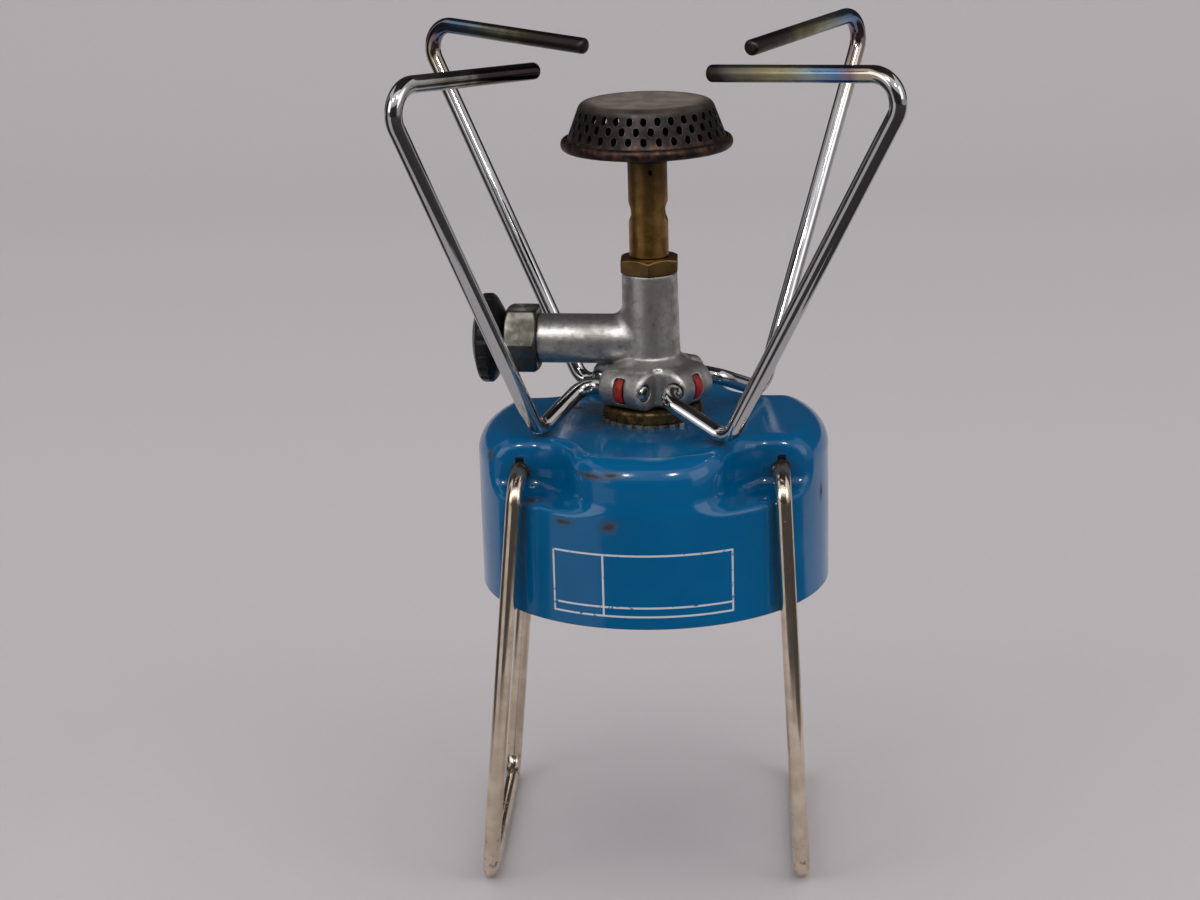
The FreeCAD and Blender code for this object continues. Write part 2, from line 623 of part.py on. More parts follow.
def make_handwheel():
    """Moulded handwheel: tapered hub, fluted rim and a shallow crown with a seat for its screw."""
    foot = wheel_foot()
    rim_start = foot + WHEEL_HUB_LENGTH
    rim_end = rim_start + WHEEL_RIM
    round_off = WHEEL_RIM / 5
    wheel = revolved([
        (0, foot),
        (WHEEL_HUB_RADIUS, foot),
        (WHEEL_RADIUS - round_off, rim_start),
        (WHEEL_RADIUS, rim_start + round_off),
        (WHEEL_RADIUS, rim_end - round_off),
        (WHEEL_RADIUS - round_off, rim_end),
        (WHEEL_HUB_RADIUS, wheel_top()),
        (0, wheel_top()),
    ])
    flute = cylinder(
        FLUTE_RADIUS, wheel_top() - foot, Vector(WHEEL_RADIUS + FLUTE_RADIUS - FLUTE_DEPTH, 0, foot)
    )
    flutes = []
    for index in range(WHEEL_FLUTES):
        copy = flute.copy()
        copy.rotate(ORIGIN, UP, 360.0 / WHEEL_FLUTES * index)
        flutes.append(copy)
    wheel = wheel.cut(Part.makeCompound(flutes))
    wheel = wheel.cut(cylinder(SPINDLE_RADIUS + SEAT_FIT, rim_end - foot, Vector(0, 0, foot)))
    wheel = wheel.cut(cylinder(WHEEL_SCREW_RADIUS + SEAT_FIT, WHEEL_CROWN, Vector(0, 0, rim_end)))
    return to_side_arm(wheel)


def make_handwheel_screw():
    seat = wheel_top() - WHEEL_CROWN
    head = cylinder(WHEEL_SCREW_RADIUS, WHEEL_SCREW_HEIGHT, Vector(0, 0, seat))
    slot_width = WHEEL_SCREW_RADIUS / 4
    slot = Part.makeBox(
        2 * WHEEL_SCREW_RADIUS, slot_width, WHEEL_SCREW_HEIGHT,
        Vector(-WHEEL_SCREW_RADIUS, -slot_width / 2, seat + WHEEL_SCREW_HEIGHT / 2),
    )
    shank = cylinder(WHEEL_SCREW_SHANK, WHEEL_SCREW_LENGTH, Vector(0, 0, seat - WHEEL_SCREW_LENGTH))
    return to_side_arm(head.cut(slot).fuse(shank).removeSplitter())


def make_jet_holder():
    """Hexagon that screws into the casting, holds the jet and seats the burner tube."""
    hexagonal = chamfered_hexagon(JET_HEX_FLATS, JET_HEX_HEIGHT, CASTING_TOP, 30.0)
    lower = cylinder(JET_SPIGOT_RADIUS, JET_SPIGOT_LENGTH, Vector(0, 0, CASTING_TOP - JET_SPIGOT_LENGTH))
    seat_radius = BURNER_TUBE_RADIUS - BURNER_TUBE_WALL - SEAT_FIT
    upper = cylinder(seat_radius, TUBE_SEAT_LENGTH, Vector(0, 0, JET_HEX_TOP))
    holder = hexagonal.fuse([lower, upper]).removeSplitter()
    top = JET_HEX_TOP + TUBE_SEAT_LENGTH
    foot = CASTING_TOP - JET_SPIGOT_LENGTH
    holder = holder.cut(cylinder(JET_BORE_RADIUS, top - foot, Vector(0, 0, foot)))
    thread = cylinder(JET_THREAD_RADIUS + SEAT_FIT, JET_THREAD_LENGTH, Vector(0, 0, top - JET_THREAD_LENGTH))
    return holder.cut(thread)


def make_jet():
    """Brass nipple with the metering hole, screwed into the top of its holder."""
    seat = JET_HEX_TOP + TUBE_SEAT_LENGTH
    shoulder = seat + JET_HEAD_HEIGHT
    tip = shoulder + JET_TIP_HEIGHT
    return revolved([
        (JET_ORIFICE_RADIUS, seat - JET_THREAD_LENGTH),
        (JET_THREAD_RADIUS, seat - JET_THREAD_LENGTH),
        (JET_THREAD_RADIUS, seat),
        (JET_HEAD_RADIUS, seat),
        (JET_HEAD_RADIUS, shoulder),
        (JET_TIP_RADIUS, tip),
        (JET_ORIFICE_RADIUS, tip),
    ])


def make_jet_filter():
    foot = CASTING_TOP - JET_SPIGOT_LENGTH / 2
    return cylinder(JET_BORE_RADIUS - SEAT_FIT, FILTER_LENGTH, Vector(0, 0, foot))


def make_burner_tube():
    """Brass mixing tube with two cross-drilled air holes."""
    tube = cylinder(BURNER_TUBE_RADIUS, BURNER_TUBE_LENGTH, Vector(0, 0, JET_HEX_TOP))
    bore = BURNER_TUBE_RADIUS - BURNER_TUBE_WALL
    tube = tube.cut(cylinder(bore, BURNER_TUBE_LENGTH, Vector(0, 0, JET_HEX_TOP)))
    start = Vector(-2 * BURNER_TUBE_RADIUS, 0, JET_HEX_TOP + AIR_HOLE_RISE)
    return tube.cut(cylinder(AIR_HOLE_RADIUS, 4 * BURNER_TUBE_RADIUS, start, Vector(1, 0, 0)))


def make_burner_dish():
    """Pressed dish: a socket over the tube, a shallow cone and a rim bead rolled over the cap's flange."""
    socket = BURNER_TUBE_RADIUS + SEAT_FIT
    foot = TUBE_TOP - DISH_SOCKET_LENGTH
    bead = DISH_BEAD / 2
    cone_foot = DISH_TOP - DISH_WALL
    inner = CAP_FLANGE_RADIUS + SEAT_FIT
    top = DISH_TOP + CAP_WALL + DISH_WALL
    return revolved([
        (socket, foot),
        (socket + DISH_WALL, foot),
        (socket + DISH_WALL, TUBE_TOP - 2 * DISH_WALL),
        (inner - DISH_WALL, cone_foot - DISH_WALL),
        (DISH_RIM_RADIUS - bead / 2, cone_foot - DISH_WALL),
        (DISH_RIM_RADIUS, cone_foot),
        (DISH_RIM_RADIUS, DISH_TOP + CAP_WALL),
        (DISH_RIM_RADIUS - bead / 2, top),
        (CAP_SKIRT_RADIUS + CAP_WALL / 2 + SEAT_FIT, top),
        (inner, DISH_TOP + CAP_WALL + SEAT_FIT),
        (inner, DISH_TOP),
        (inner - 2 * DISH_WALL, DISH_TOP),
        (socket + DISH_WALL, TUBE_TOP),
        (socket, TUBE_TOP),
    ])


def cap_outline(inset):
    """The cap's skirt, rounded shoulder and dished top, as (radius, height) points from flange to centre."""
    skirt = CAP_SKIRT_RADIUS - inset
    edge = CAP_TOP_RADIUS - inset
    top = CAP_TOP - inset
    shoulder = CAP_SHOULDER
    return [
        (skirt, DISH_TOP + CAP_WALL),
        (edge + shoulder * 0.25, top - shoulder),
        (edge - shoulder * 0.1, top - shoulder * 0.45),
        (edge - shoulder * 0.5, top - shoulder * 0.12),
        (edge - shoulder, top),
        (edge - 2 * shoulder, top - CAP_DISHING),
        (0, top - CAP_DISHING),
    ]


def flame_port(height):
    """A six-sided cutter for one upright oval port, running outward along +X."""
    start = CAP_TOP_RADIUS - 4 * CAP_WALL
    half_width = PORT_WIDTH / 2
    half_height = PORT_HEIGHT / 2
    outline = [(0, half_height), (half_width, half_height / 2), (half_width, -half_height / 2)]
    outline = outline + [(-across, -up) for across, up in outline]
    points = [Vector(start, across, height + up) for across, up in outline]
    return Part.Face(Part.makePolygon(points + points[:1])).extrude(Vector(CAP_SKIRT_RADIUS, 0, 0))


def make_burner_cap():
    """Perforated steel cap with three staggered rows of flame ports."""
    outside = cap_outline(0.0)
    inside = cap_outline(CAP_WALL)
    flange = [
        (inside[0][0], DISH_TOP),
        (CAP_FLANGE_RADIUS, DISH_TOP),
        (CAP_FLANGE_RADIUS, DISH_TOP + CAP_WALL),
    ]
    cap = revolved(flange + outside + inside[:0:-1])
    ports = []
    for row in range(PORT_ROWS):
        height = DISH_TOP + PORT_FIRST_RISE + PORT_PITCH * row
        for column in range(PORT_COLUMNS):
            copy = flame_port(height)
            copy.rotate(ORIGIN, UP, 360.0 / PORT_COLUMNS * (column + 0.5 * (row % 2)))
            ports.append(copy)
    return cap.cut(Part.makeCompound(ports))


def build_all():
    """Makes every piece where it sits in the standing stove."""
    arm = make_arm()
    arm_names = ("arm_front_right", "arm_back_right", "arm_back_left", "arm_front_left")
    pieces = {
        "bell": make_bell(),
        "bail_right": make_bail(BAIL_SPLAY_RIGHT),
        "bail_left": make_bail(BAIL_SPLAY_LEFT).mirror(ORIGIN, Vector(1, 0, 0)),
        "lock_washer": make_lock_washer(),
        "threaded_bush": make_threaded_bush(),
        "bush_locknut": make_bush_locknut(),
        "valve_body": make_valve_body(),
        "friction_rings": make_friction_rings(),
        "piercing_needle": make_piercing_needle(),
        "seal_washer": make_seal_washer(),
        "gland_nut": make_gland_nut(),
        "packing_ring": make_packing_ring(),
        "valve_needle": make_valve_needle(),
        "valve_spindle": make_valve_spindle(),
        "handwheel": make_handwheel(),
        "handwheel_screw": make_handwheel_screw(),
        "jet_holder": make_jet_holder(),
        "jet": make_jet(),
        "jet_filter": make_jet_filter(),
        "burner_tube": make_burner_tube(),
        "burner_dish": make_burner_dish(),
        "burner_cap": make_burner_cap(),
    }
    for index, name in enumerate(arm_names):
        pieces[name] = to_hinge(arm, index)
    return pieces


PARTS = build_all()
os.makedirs("parts", exist_ok=True)
for name, shape in PARTS.items():
    shape.exportStep("parts/" + name + ".step")
    state = "valid" if shape.isValid() else "INVALID"
    print(name, len(shape.Solids), "solids", round(shape.Volume, 1), "mm3", state)
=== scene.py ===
import math

import bmesh
import bpy
import numpy as np
from mathutils import Matrix, Vector


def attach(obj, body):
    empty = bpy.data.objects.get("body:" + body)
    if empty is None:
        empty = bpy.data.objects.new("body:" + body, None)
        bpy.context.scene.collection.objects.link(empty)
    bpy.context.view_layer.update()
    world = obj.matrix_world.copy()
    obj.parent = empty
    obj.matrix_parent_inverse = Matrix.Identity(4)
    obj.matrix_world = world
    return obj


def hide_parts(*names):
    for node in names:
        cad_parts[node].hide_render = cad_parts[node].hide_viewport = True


# A portable cartridge stove, from the bell at the bottom to the pan supports at the top.
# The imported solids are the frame; sizes below are in millimetres in that frame, with the burner on Z.
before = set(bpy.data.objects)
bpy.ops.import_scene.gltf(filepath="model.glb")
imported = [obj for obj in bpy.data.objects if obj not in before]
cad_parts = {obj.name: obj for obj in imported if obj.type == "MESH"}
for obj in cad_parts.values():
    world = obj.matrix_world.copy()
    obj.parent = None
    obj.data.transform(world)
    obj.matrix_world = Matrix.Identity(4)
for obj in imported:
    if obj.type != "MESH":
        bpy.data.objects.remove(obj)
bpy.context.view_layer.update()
MM = 0.001

# The bell
# A deep-drawn steel cup that slips over the gas cartridge, stove-enamelled blue. Four pockets are pressed
# into its shoulder, and each has a keyhole for one end of a wire bail. The brass bush goes through its top.
BELL_RADIUS = 46.0
BELL_TOP = 118.3
BELL_RIM = 75.3
BELL_WALL = 0.8
SHOULDER = 7.5
POCKET_FACE = 21.5
POCKET_FLOOR = 105.0
POCKET_CORNER = 7.5
POCKET_FOOT = 4.0
POCKET_SLANT = math.radians(15)
LEDGE_EDGE = 1.7
POCKET_EDGE = 3.6
NOSE_RADIUS = 17.0
NOSE_CENTRE = (3.0, 29.2)
CROWN_HOLE = 10.6
PIVOT_X = 33.6
PIVOT_Z = 110.0
KEYHOLE_RADIUS = 2.23
KEYHOLE_SLOT = 1.1
KEYHOLE_TOP = 3.5
KEYHOLE_POINTS = 32
KEYHOLE_DEPTH = 3
HEART = np.array((0.0, 0.0, 80.0))
SEARCH_SPAN = (0.45, 1.02)
SEARCH_STEPS = 30
BELL_COLUMNS = 400
CROWN_END = 20.0
CROWN_ROWS = 6
LEDGE_START = 20.5
LEDGE_ROWS = 34
SHOULDER_ROWS = 26
POCKET_END = 98.0
POCKET_ROWS = 26
SKIRT_START = 96.0
SKIRT_ROWS = 10
INNER_EVERY = 3


def round_union(first, second, radius):
    """Two distance fields joined, with a fillet of this radius in the corner between them."""
    corner = np.hypot(np.maximum(radius - first, 0), np.maximum(radius - second, 0))
    return np.maximum(radius, np.minimum(first, second)) - corner


def round_overlap(first, second, radius):
    """What two distance fields have in common, with the edge between them rounded to this radius."""
    corner = np.hypot(np.maximum(radius + first, 0), np.maximum(radius + second, 0))
    return np.minimum(-radius, np.maximum(first, second)) + corner


def bell_field(points):
    """How far each point lies outside the bell's outer skin; it is below zero inside."""
    x, y, z = np.moveaxis(points, -1, 0)
    across = np.abs(x)
    along = np.abs(y)
    from_side = np.hypot(x, y) - (BELL_RADIUS - SHOULDER)
    from_top = z - (BELL_TOP - SHOULDER)
    plug = np.hypot(np.maximum(from_side, 0), np.maximum(from_top, 0)) - SHOULDER
    plug = plug + np.minimum(np.maximum(from_side, from_top), 0)
    nose_x = np.maximum(across - NOSE_CENTRE[0], 0)
    nose_y = along - NOSE_CENTRE[1]
    flank = nose_x * math.cos(POCKET_SLANT) + nose_y * math.sin(POCKET_SLANT)
    past_flank = nose_y * math.cos(POCKET_SLANT) - nose_x * math.sin(POCKET_SLANT) > 0
    nose = np.where(past_flank, np.hypot(nose_x, nose_y), flank) - NOSE_RADIUS
    plan = round_union(along - POCKET_FACE, nose, POCKET_CORNER)
    body = round_union(plan, z - POCKET_FLOOR, POCKET_FOOT)
    height = np.clip((z - POCKET_FLOOR) / (BELL_TOP - POCKET_FLOOR), 0, 1)
    edge = LEDGE_EDGE + (POCKET_EDGE - LEDGE_EDGE) * height
    return round_overlap(plug, body, edge)


def skin(directions, reach, level):
    """The points where rays from inside the bell cross one level of its field, by halving the interval."""
    near = SEARCH_SPAN[0] * reach
    far = SEARCH_SPAN[1] * reach
    for _ in range(SEARCH_STEPS):
        middle = (near + far) / 2
        inside = bell_field(HEART + directions * middle[..., None]) < level
        near = np.where(inside, middle, near)
        far = np.where(inside, far, middle)
    return HEART + directions * near[..., None]


def grid_faces(rows, columns, looped=False):
    """Quads between neighbouring rings of points; a looped grid joins its last ring to its first."""
    faces = []
    for row in range(rows if looped else rows - 1):
        here = row * columns
        there = (row + 1) % rows * columns
        for column in range(columns):
            after = (column + 1) % columns
            faces.append((here + column, there + column, there + after, here + after))
    return faces


def capped_faces(rows, columns):
    """The faces of a closed bar of rings: the quads between the rings and one face over each end."""
    last = rows * columns - 1
    return grid_faces(rows, columns) + [tuple(range(columns)), tuple(range(last, last - columns, -1))]


def put_in_scene(name, data):
    """An object for a mesh, a light or a camera, linked into the scene."""
    thing = bpy.data.objects.new(name, data)
    bpy.context.scene.collection.objects.link(thing)
    return thing


def shade(mesh, sharp_angle):
    """Shades a mesh smooth, but for the edges that turn by more than an angle, if one is given."""
    mesh.shade_smooth()
    if sharp_angle:
        mesh.set_sharp_from_angle(angle=math.radians(sharp_angle))


def add_mesh(name, points, faces, sharp_angle=None):
    """A mesh object from millimetre points, with its faces turned outward."""
    mesh = bpy.data.meshes.new(name)
    mesh.from_pydata((np.asarray(points, float) * MM).tolist(), [], faces)
    work = bmesh.new()
    work.from_mesh(mesh)
    bmesh.ops.recalc_face_normals(work, faces=work.faces)
    work.to_mesh(mesh)
    work.free()
    shade(mesh, sharp_angle)
    return put_in_scene(name, mesh)


def settle(piece, sharp_angle=None):
    """Puts a piece's modifiers into its mesh and shades it again."""
    graph = bpy.context.evaluated_depsgraph_get()
    settled = bpy.data.meshes.new_from_object(piece.evaluated_get(graph))
    before = piece.data
    piece.modifiers.clear()
    piece.data = settled
    bpy.data.meshes.remove(before)
    shade(settled, sharp_angle)


def cut_out(piece, cutter, sharp_angle):
    """Takes a closed mesh out of a piece and removes it from the scene."""
    boolean = piece.modifiers.new("cut", "BOOLEAN")
    boolean.operation = "DIFFERENCE"
    boolean.solver = "EXACT"
    boolean.object = cutter
    settle(piece, sharp_angle)
    bpy.data.objects.remove(cutter)


def stand_in(piece, material, slot, body, *nodes):
    """Gives a piece its material, lets it ride on a body and stand for CAD nodes; the slot is not used."""
    piece.data.materials.clear()
    piece.data.materials.append(material)
    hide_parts(*nodes)
    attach(piece, body)


def keyhole_cutter(sign_x, sign_y):
    """A closed prism for one keyhole: a round hole with a slot above it, through the pocket's face."""
    start = math.asin(KEYHOLE_SLOT / KEYHOLE_RADIUS)
    outline = []
    for turn in np.linspace(start, 2 * math.pi - start, KEYHOLE_POINTS):
        outline.append((KEYHOLE_RADIUS * math.sin(turn), KEYHOLE_RADIUS * math.cos(turn)))
    outline.append((-KEYHOLE_SLOT, KEYHOLE_TOP))
    outline.append((KEYHOLE_SLOT, KEYHOLE_TOP))
    points = []
    for depth in (POCKET_FACE - KEYHOLE_DEPTH, POCKET_FACE + KEYHOLE_DEPTH):
        for across, up in outline:
            points.append((sign_x * (PIVOT_X + across), sign_y * depth, PIVOT_Z + up))
    return add_mesh("keyhole_cutter", points, capped_faces(2, len(outline)))


# The rows of the mesh run from the hole in the crown to the rim, closer together where the pockets are.
bell_path = [(radius, BELL_TOP) for radius in np.linspace(CROWN_HOLE, CROWN_END, CROWN_ROWS)]
bell_path += [(radius, BELL_TOP) for radius in np.linspace(LEDGE_START, BELL_RADIUS - SHOULDER, LEDGE_ROWS)]
for turn in np.linspace(0, math.pi / 2, SHOULDER_ROWS)[1:-1]:
    radius = BELL_RADIUS - SHOULDER + SHOULDER * math.sin(turn)
    bell_path.append((radius, BELL_TOP - SHOULDER + SHOULDER * math.cos(turn)))
bell_path += [(BELL_RADIUS, height) for height in np.linspace(BELL_TOP - SHOULDER, POCKET_END, POCKET_ROWS)]
bell_path += [(BELL_RADIUS, height) for height in np.linspace(SKIRT_START, BELL_RIM, SKIRT_ROWS)]
bell_turns = np.linspace(0, 2 * math.pi, BELL_COLUMNS, endpoint=False)
bell_radii, bell_heights = np.array(bell_path).T
targets = np.empty((len(bell_path), BELL_COLUMNS, 3))
targets[..., 0] = bell_radii[:, None] * np.cos(bell_turns)
targets[..., 1] = bell_radii[:, None] * np.sin(bell_turns)
targets[..., 2] = bell_heights[:, None]
reach = np.linalg.norm(targets - HEART, axis=-1)
directions = (targets - HEART) / reach[..., None]
outer_skin = skin(directions, reach, 0.0)
last_row = len(bell_path) - 1
inner_rows = sorted(set(range(0, len(bell_path), INNER_EVERY)) | {last_row}, reverse=True)
inner_skin = skin(directions[inner_rows], reach[inner_rows], -BELL_WALL)
bell_rings = np.concatenate((outer_skin, inner_skin))
bell_faces = grid_faces(len(bell_rings), BELL_COLUMNS, looped=True)
bell = add_mesh("bell_shell", bell_rings.reshape(-1, 3), bell_faces)
for sign_x in (-1, 1):
    for sign_y in (-1, 1):
        cut_out(bell, keyhole_cutter(sign_x, sign_y), sharp_angle=50)


def put(tree, kind, values=None, **settings):
    """Adds a shader node. Values go into its inputs, as numbers or as another node's output."""
    node = tree.nodes.new("ShaderNode" + kind)
    for key, value in settings.items():
        setattr(node, key, value)
    for key, value in (values or {}).items():
        if isinstance(value, bpy.types.NodeSocket):
            tree.links.new(value, node.inputs[key])
        else:
            node.inputs[key].default_value = value
    return node


def arithmetic(tree, operation, first, second=0.0):
    """One step of arithmetic on values."""
    return put(tree, "Math", {0: first, 1: second}, operation=operation).outputs[0]


def plus(tree, first, second):
    """One value added to another."""
    return arithmetic(tree, "ADD", first, second)


def minus(tree, first, second):
    """The second value taken from the first."""
    return arithmetic(tree, "SUBTRACT", first, second)


def times(tree, first, second):
    """One value multiplied by another."""
    return arithmetic(tree, "MULTIPLY", first, second)


def larger(tree, first, second):
    """The larger of two values."""
    return arithmetic(tree, "MAXIMUM", first, second)


def fade(tree, value, low, high):
    """A value brought to 0 at low and 1 at high, with a soft start and end."""
    values = {"Value": value, "From Min": low, "From Max": high}
    return put(tree, "MapRange", values, interpolation_type="SMOOTHSTEP").outputs[0]


def fade_out(tree, value, low, high):
    """A value brought to 1 at low and 0 at high."""
    return minus(tree, 1.0, fade(tree, value, low, high))


def mixed(tree, amount, first, second):
    """Two colours mixed by an amount."""
    return put(tree, "Mix", {0: amount, 6: first, 7: second}, data_type="RGBA").outputs[2]


def tint(tree, base, where, share, colour):
    """A base colour with a share of another colour laid over it where a mask says."""
    return mixed(tree, times(tree, where, share), base, colour)


def lerp(tree, amount, first, second):
    """Two values mixed by an amount."""
    return put(tree, "Mix", {0: amount, 2: first, 3: second}, data_type="FLOAT").outputs[0]


def stretched(tree, spot, factors):
    """A point with each of its coordinates multiplied by a factor."""
    return put(tree, "VectorMath", {0: spot, 1: factors}, operation="MULTIPLY").outputs[0]


def place(tree):
    """Where a point is on its piece, in millimetres."""
    return stretched(tree, put(tree, "TexCoord").outputs["Object"], (1 / MM, 1 / MM, 1 / MM))


def place_in_steps(tree, size):
    """Where a point is on its piece, in steps of a size in millimetres."""
    scale = arithmetic(tree, "DIVIDE", 1.0, size)
    return put(tree, "VectorMath", {0: place(tree), "Scale": scale}, operation="SCALE").outputs[0]


def axis_distance(tree, spot):
    """How far a point is from the burner's axis, in millimetres."""
    flat = stretched(tree, spot, (1, 1, 0))
    return put(tree, "VectorMath", {0: flat}, operation="LENGTH").outputs["Value"]


def noise(tree, spot, size, detail=4.0, roughness=0.55):
    """Cloudy noise whose largest lumps are about this many millimetres."""
    values = {"Vector": spot, "Scale": 1 / size, "Detail": detail, "Roughness": roughness}
    return put(tree, "TexNoise", values).outputs[0]


def new_group(name, inputs, outputs):
    """An empty shader node group with named inputs (label: start value) and outputs."""
    group = bpy.data.node_groups.new(name, "ShaderNodeTree")
    for label, value in inputs.items():
        socket = group.interface.new_socket(label, in_out="INPUT", socket_type="NodeSocketFloat")
        socket.default_value = value
    for label in outputs:
        group.interface.new_socket(label, in_out="OUTPUT", socket_type="NodeSocketFloat")
    return group, group.nodes.new("NodeGroupInput").outputs, group.nodes.new("NodeGroupOutput").inputs


# Blotches of a given size, from a low to a high share of the noise.
mottle, given, made = new_group("Mottle", {"Size": 10.0, "Low": 0.4, "High": 0.6}, ["Mask"])
mottle_noise = noise(mottle, place_in_steps(mottle, given["Size"]), 1.0, detail=6.0, roughness=0.6)
mottle.links.new(fade(mottle, mottle_noise, given["Low"], given["High"]), made["Mask"])

# Scattered specks: a share of the cells of a grid of this spacing has a ragged round spot.
specks, given, made = new_group("Specks", {"Spacing": 4.0, "Share": 0.2, "Spread": 0.25}, ["Mask"])
speck_spot = place_in_steps(specks, given["Spacing"])
cells = put(specks, "TexVoronoi", {"Vector": speck_spot, "Scale": 1.0})
ragged = noise(specks, speck_spot, 0.25, detail=2.0)
speck_edge = plus(specks, cells.outputs["Distance"], times(specks, ragged, 0.16))
speck_lot = put(specks, "SeparateColor", {0: cells.outputs["Color"]}).outputs[0]
chosen = arithmetic(specks, "LESS_THAN", speck_lot, given["Share"])
speck_size = plus(specks, given["Spread"], 0.08)
round_spot = fade_out(specks, speck_edge, given["Spread"], speck_size)
specks.links.new(times(specks, round_spot, chosen), made["Mask"])

# Edges rubbed bare: where the surface turns within a width, broken up by noise.
worn, given, made = new_group("Worn edges", {"Width": 0.5, "Breakup": 6.0}, ["Mask"])
rounded = put(worn, "Bevel", {"Radius": times(worn, given["Width"], MM)}, samples=6)
true_normal = put(worn, "NewGeometry").outputs["Normal"]
turned = put(worn, "VectorMath", {0: rounded.outputs[0], 1: true_normal}, operation="DOT_PRODUCT")
turn_share = fade(worn, minus(worn, 1.0, turned.outputs["Value"]), 0.01, 0.12)
breakup = fade(worn, noise(worn, place_in_steps(worn, given["Breakup"]), 1.0), 0.42, 0.6)
worn.links.new(times(worn, turn_share, breakup), made["Mask"])

# Painted shade in corners: darker where little open sky lies within a reach, with a ragged edge.
corner_shade, given, made = new_group("Corner shade", {"Reach": 4.0, "Depth": 0.6}, ["Mask"])
sky = put(corner_shade, "AmbientOcclusion", {"Distance": times(corner_shade, given["Reach"], MM)}, samples=8)
hidden = minus(corner_shade, 1.0, sky.outputs["AO"])
hidden = plus(corner_shade, hidden, times(corner_shade, noise(corner_shade, place(corner_shade), 2.5), 0.4))
corner_shade.links.new(fade(corner_shade, minus(corner_shade, hidden, 0.2), 0.12, given["Depth"]), made["Mask"])


def mask(tree, group, **values):
    """The mask that one of the shared groups makes in a material."""
    return put(tree, "Group", values, node_tree=group).outputs["Mask"]


def new_material(name):
    """An empty material; returns it with its node tree and its shader."""
    material = bpy.data.materials.new(name + "_finish")
    material.use_nodes = True
    material.node_tree.nodes.clear()
    shader = put(material.node_tree, "BsdfPrincipled")
    put(material.node_tree, "OutputMaterial", {"Surface": shader.outputs[0]})
    return material, material.node_tree, shader


def set_shader(tree, shader, **sockets):
    """Sets the shader's sockets by name, with underscores for blanks."""
    for label, value in sockets.items():
        socket = shader.inputs[label.replace("_", " ")]
        if isinstance(value, bpy.types.NodeSocket):
            tree.links.new(value, socket)
        else:
            socket.default_value = value


def bump(tree, height, depth):
    """A bumped normal from a height between 0 and 1, this many millimetres deep."""
    return put(tree, "Bump", {"Height": height, "Distance": depth * MM}).outputs[0]


ENAMEL_BLUE = (0.0, 0.122, 0.300, 1)
ENAMEL_DEEP = (0.0, 0.100, 0.256, 1)
ENAMEL_RUST = (0.046, 0.034, 0.027, 1)
ENAMEL_DUST_AND_SHADE = (0.042, 0.058, 0.072, 1)
ENAMEL_COAT = 0.2
# A plain ruled frame on the front of the bell, measured round the bell and up from the floor.
RULE_WHITE = (0.62, 0.66, 0.68, 1)
RULE_WIDTH = 0.2
RULE_FADE = 0.3
FRAME_MIDDLE = (-1.9, 86.7)
FRAME_HALF = (23.6, 8.05)
FRAME_DIVIDER = -11.7
FRAME_BAND = 81.0
# Chipped and rusty places: where each one is, and how far it reaches along each axis.
ENAMEL_MARKS = [
    ((-9.9, -44.9, 102.2), (2.2, 2.2, 1.6)),
    ((-14.2, -41.4, 114.4), (6.5, 3.5, 0.9)),
    ((-9.0, -43.5, 115.0), (3.5, 2.0, 0.8)),
    ((-29.9, -31.0, 105.0), (2.6, 2.6, 1.8)),
    ((-21.4, -40.7, 102.3), (3.0, 2.0, 0.8)),
    ((43.7, -14.4, 101.4), (1.2, 1.4, 2.2)),
    ((-41.4, -18.7, 113.6), (1.3, 1.5, 1.5)),
    ((-20.2, 7.6, 118.3), (2.5, 2.0, 1.0)),
    ((-30.0, 35.0, 96.0), (2.0, 2.0, 1.2)),
    ((12.0, 44.4, 84.0), (1.3, 1.3, 2.2)),
]
enamel, tree, shader = new_material("blue_enamel")
spot = place(tree)
x, y, z = put(tree, "SeparateXYZ", {0: spot}).outputs
clouds = noise(tree, spot, 45.0)
paint = mixed(tree, fade(tree, clouds, 0.3, 0.7), ENAMEL_BLUE, ENAMEL_DEEP)
facing = arithmetic(tree, "ARCTAN2", x, times(tree, y, -1.0))
around = times(tree, facing, BELL_RADIUS)
from_middle = arithmetic(tree, "ABSOLUTE", minus(tree, around, FRAME_MIDDLE[0]))
from_centre = arithmetic(tree, "ABSOLUTE", minus(tree, z, FRAME_MIDDLE[1]))
side_gap = minus(tree, from_middle, FRAME_HALF[0])
end_gap = minus(tree, from_centre, FRAME_HALF[1])
frame_gap = larger(tree, side_gap, end_gap)
within = arithmetic(tree, "LESS_THAN", frame_gap, 0.0)
divider_gap = minus(tree, around, FRAME_DIVIDER)
band_gap = minus(tree, z, FRAME_BAND)
rules = fade_out(tree, arithmetic(tree, "ABSOLUTE", frame_gap), RULE_WIDTH, RULE_FADE)
for gap in (divider_gap, band_gap):
    beyond = fade(tree, arithmetic(tree, "ABSOLUTE", gap), RULE_WIDTH, RULE_FADE)
    rules = larger(tree, rules, minus(tree, within, beyond))
rubbed = mask(tree, mottle, Size=1.6, Low=0.34, High=0.42)
paint = mixed(tree, times(tree, rules, rubbed), paint, RULE_WHITE)
ragged = times(tree, noise(tree, spot, 1.4, detail=5.0), 1.5)
marks = 0.0
halos = 0.0
for centre, extent in ENAMEL_MARKS:
    offset = put(tree, "VectorMath", {0: spot, 1: centre}, operation="SUBTRACT").outputs[0]
    scaled = put(tree, "VectorMath", {0: offset, 1: extent}, operation="DIVIDE").outputs[0]
    distance = put(tree, "VectorMath", {0: scaled}, operation="LENGTH").outputs["Value"]
    distance = plus(tree, distance, ragged)
    marks = larger(tree, marks, fade_out(tree, distance, 0.95, 1.5))
    halos = larger(tree, halos, fade_out(tree, distance, 1.2, 2.6))
flecks = mask(tree, specks, Spacing=5.0, Share=0.12, Spread=0.05)
bare = larger(tree, marks, flecks)
bare = larger(tree, bare, mask(tree, worn, Width=0.7, Breakup=3.0))
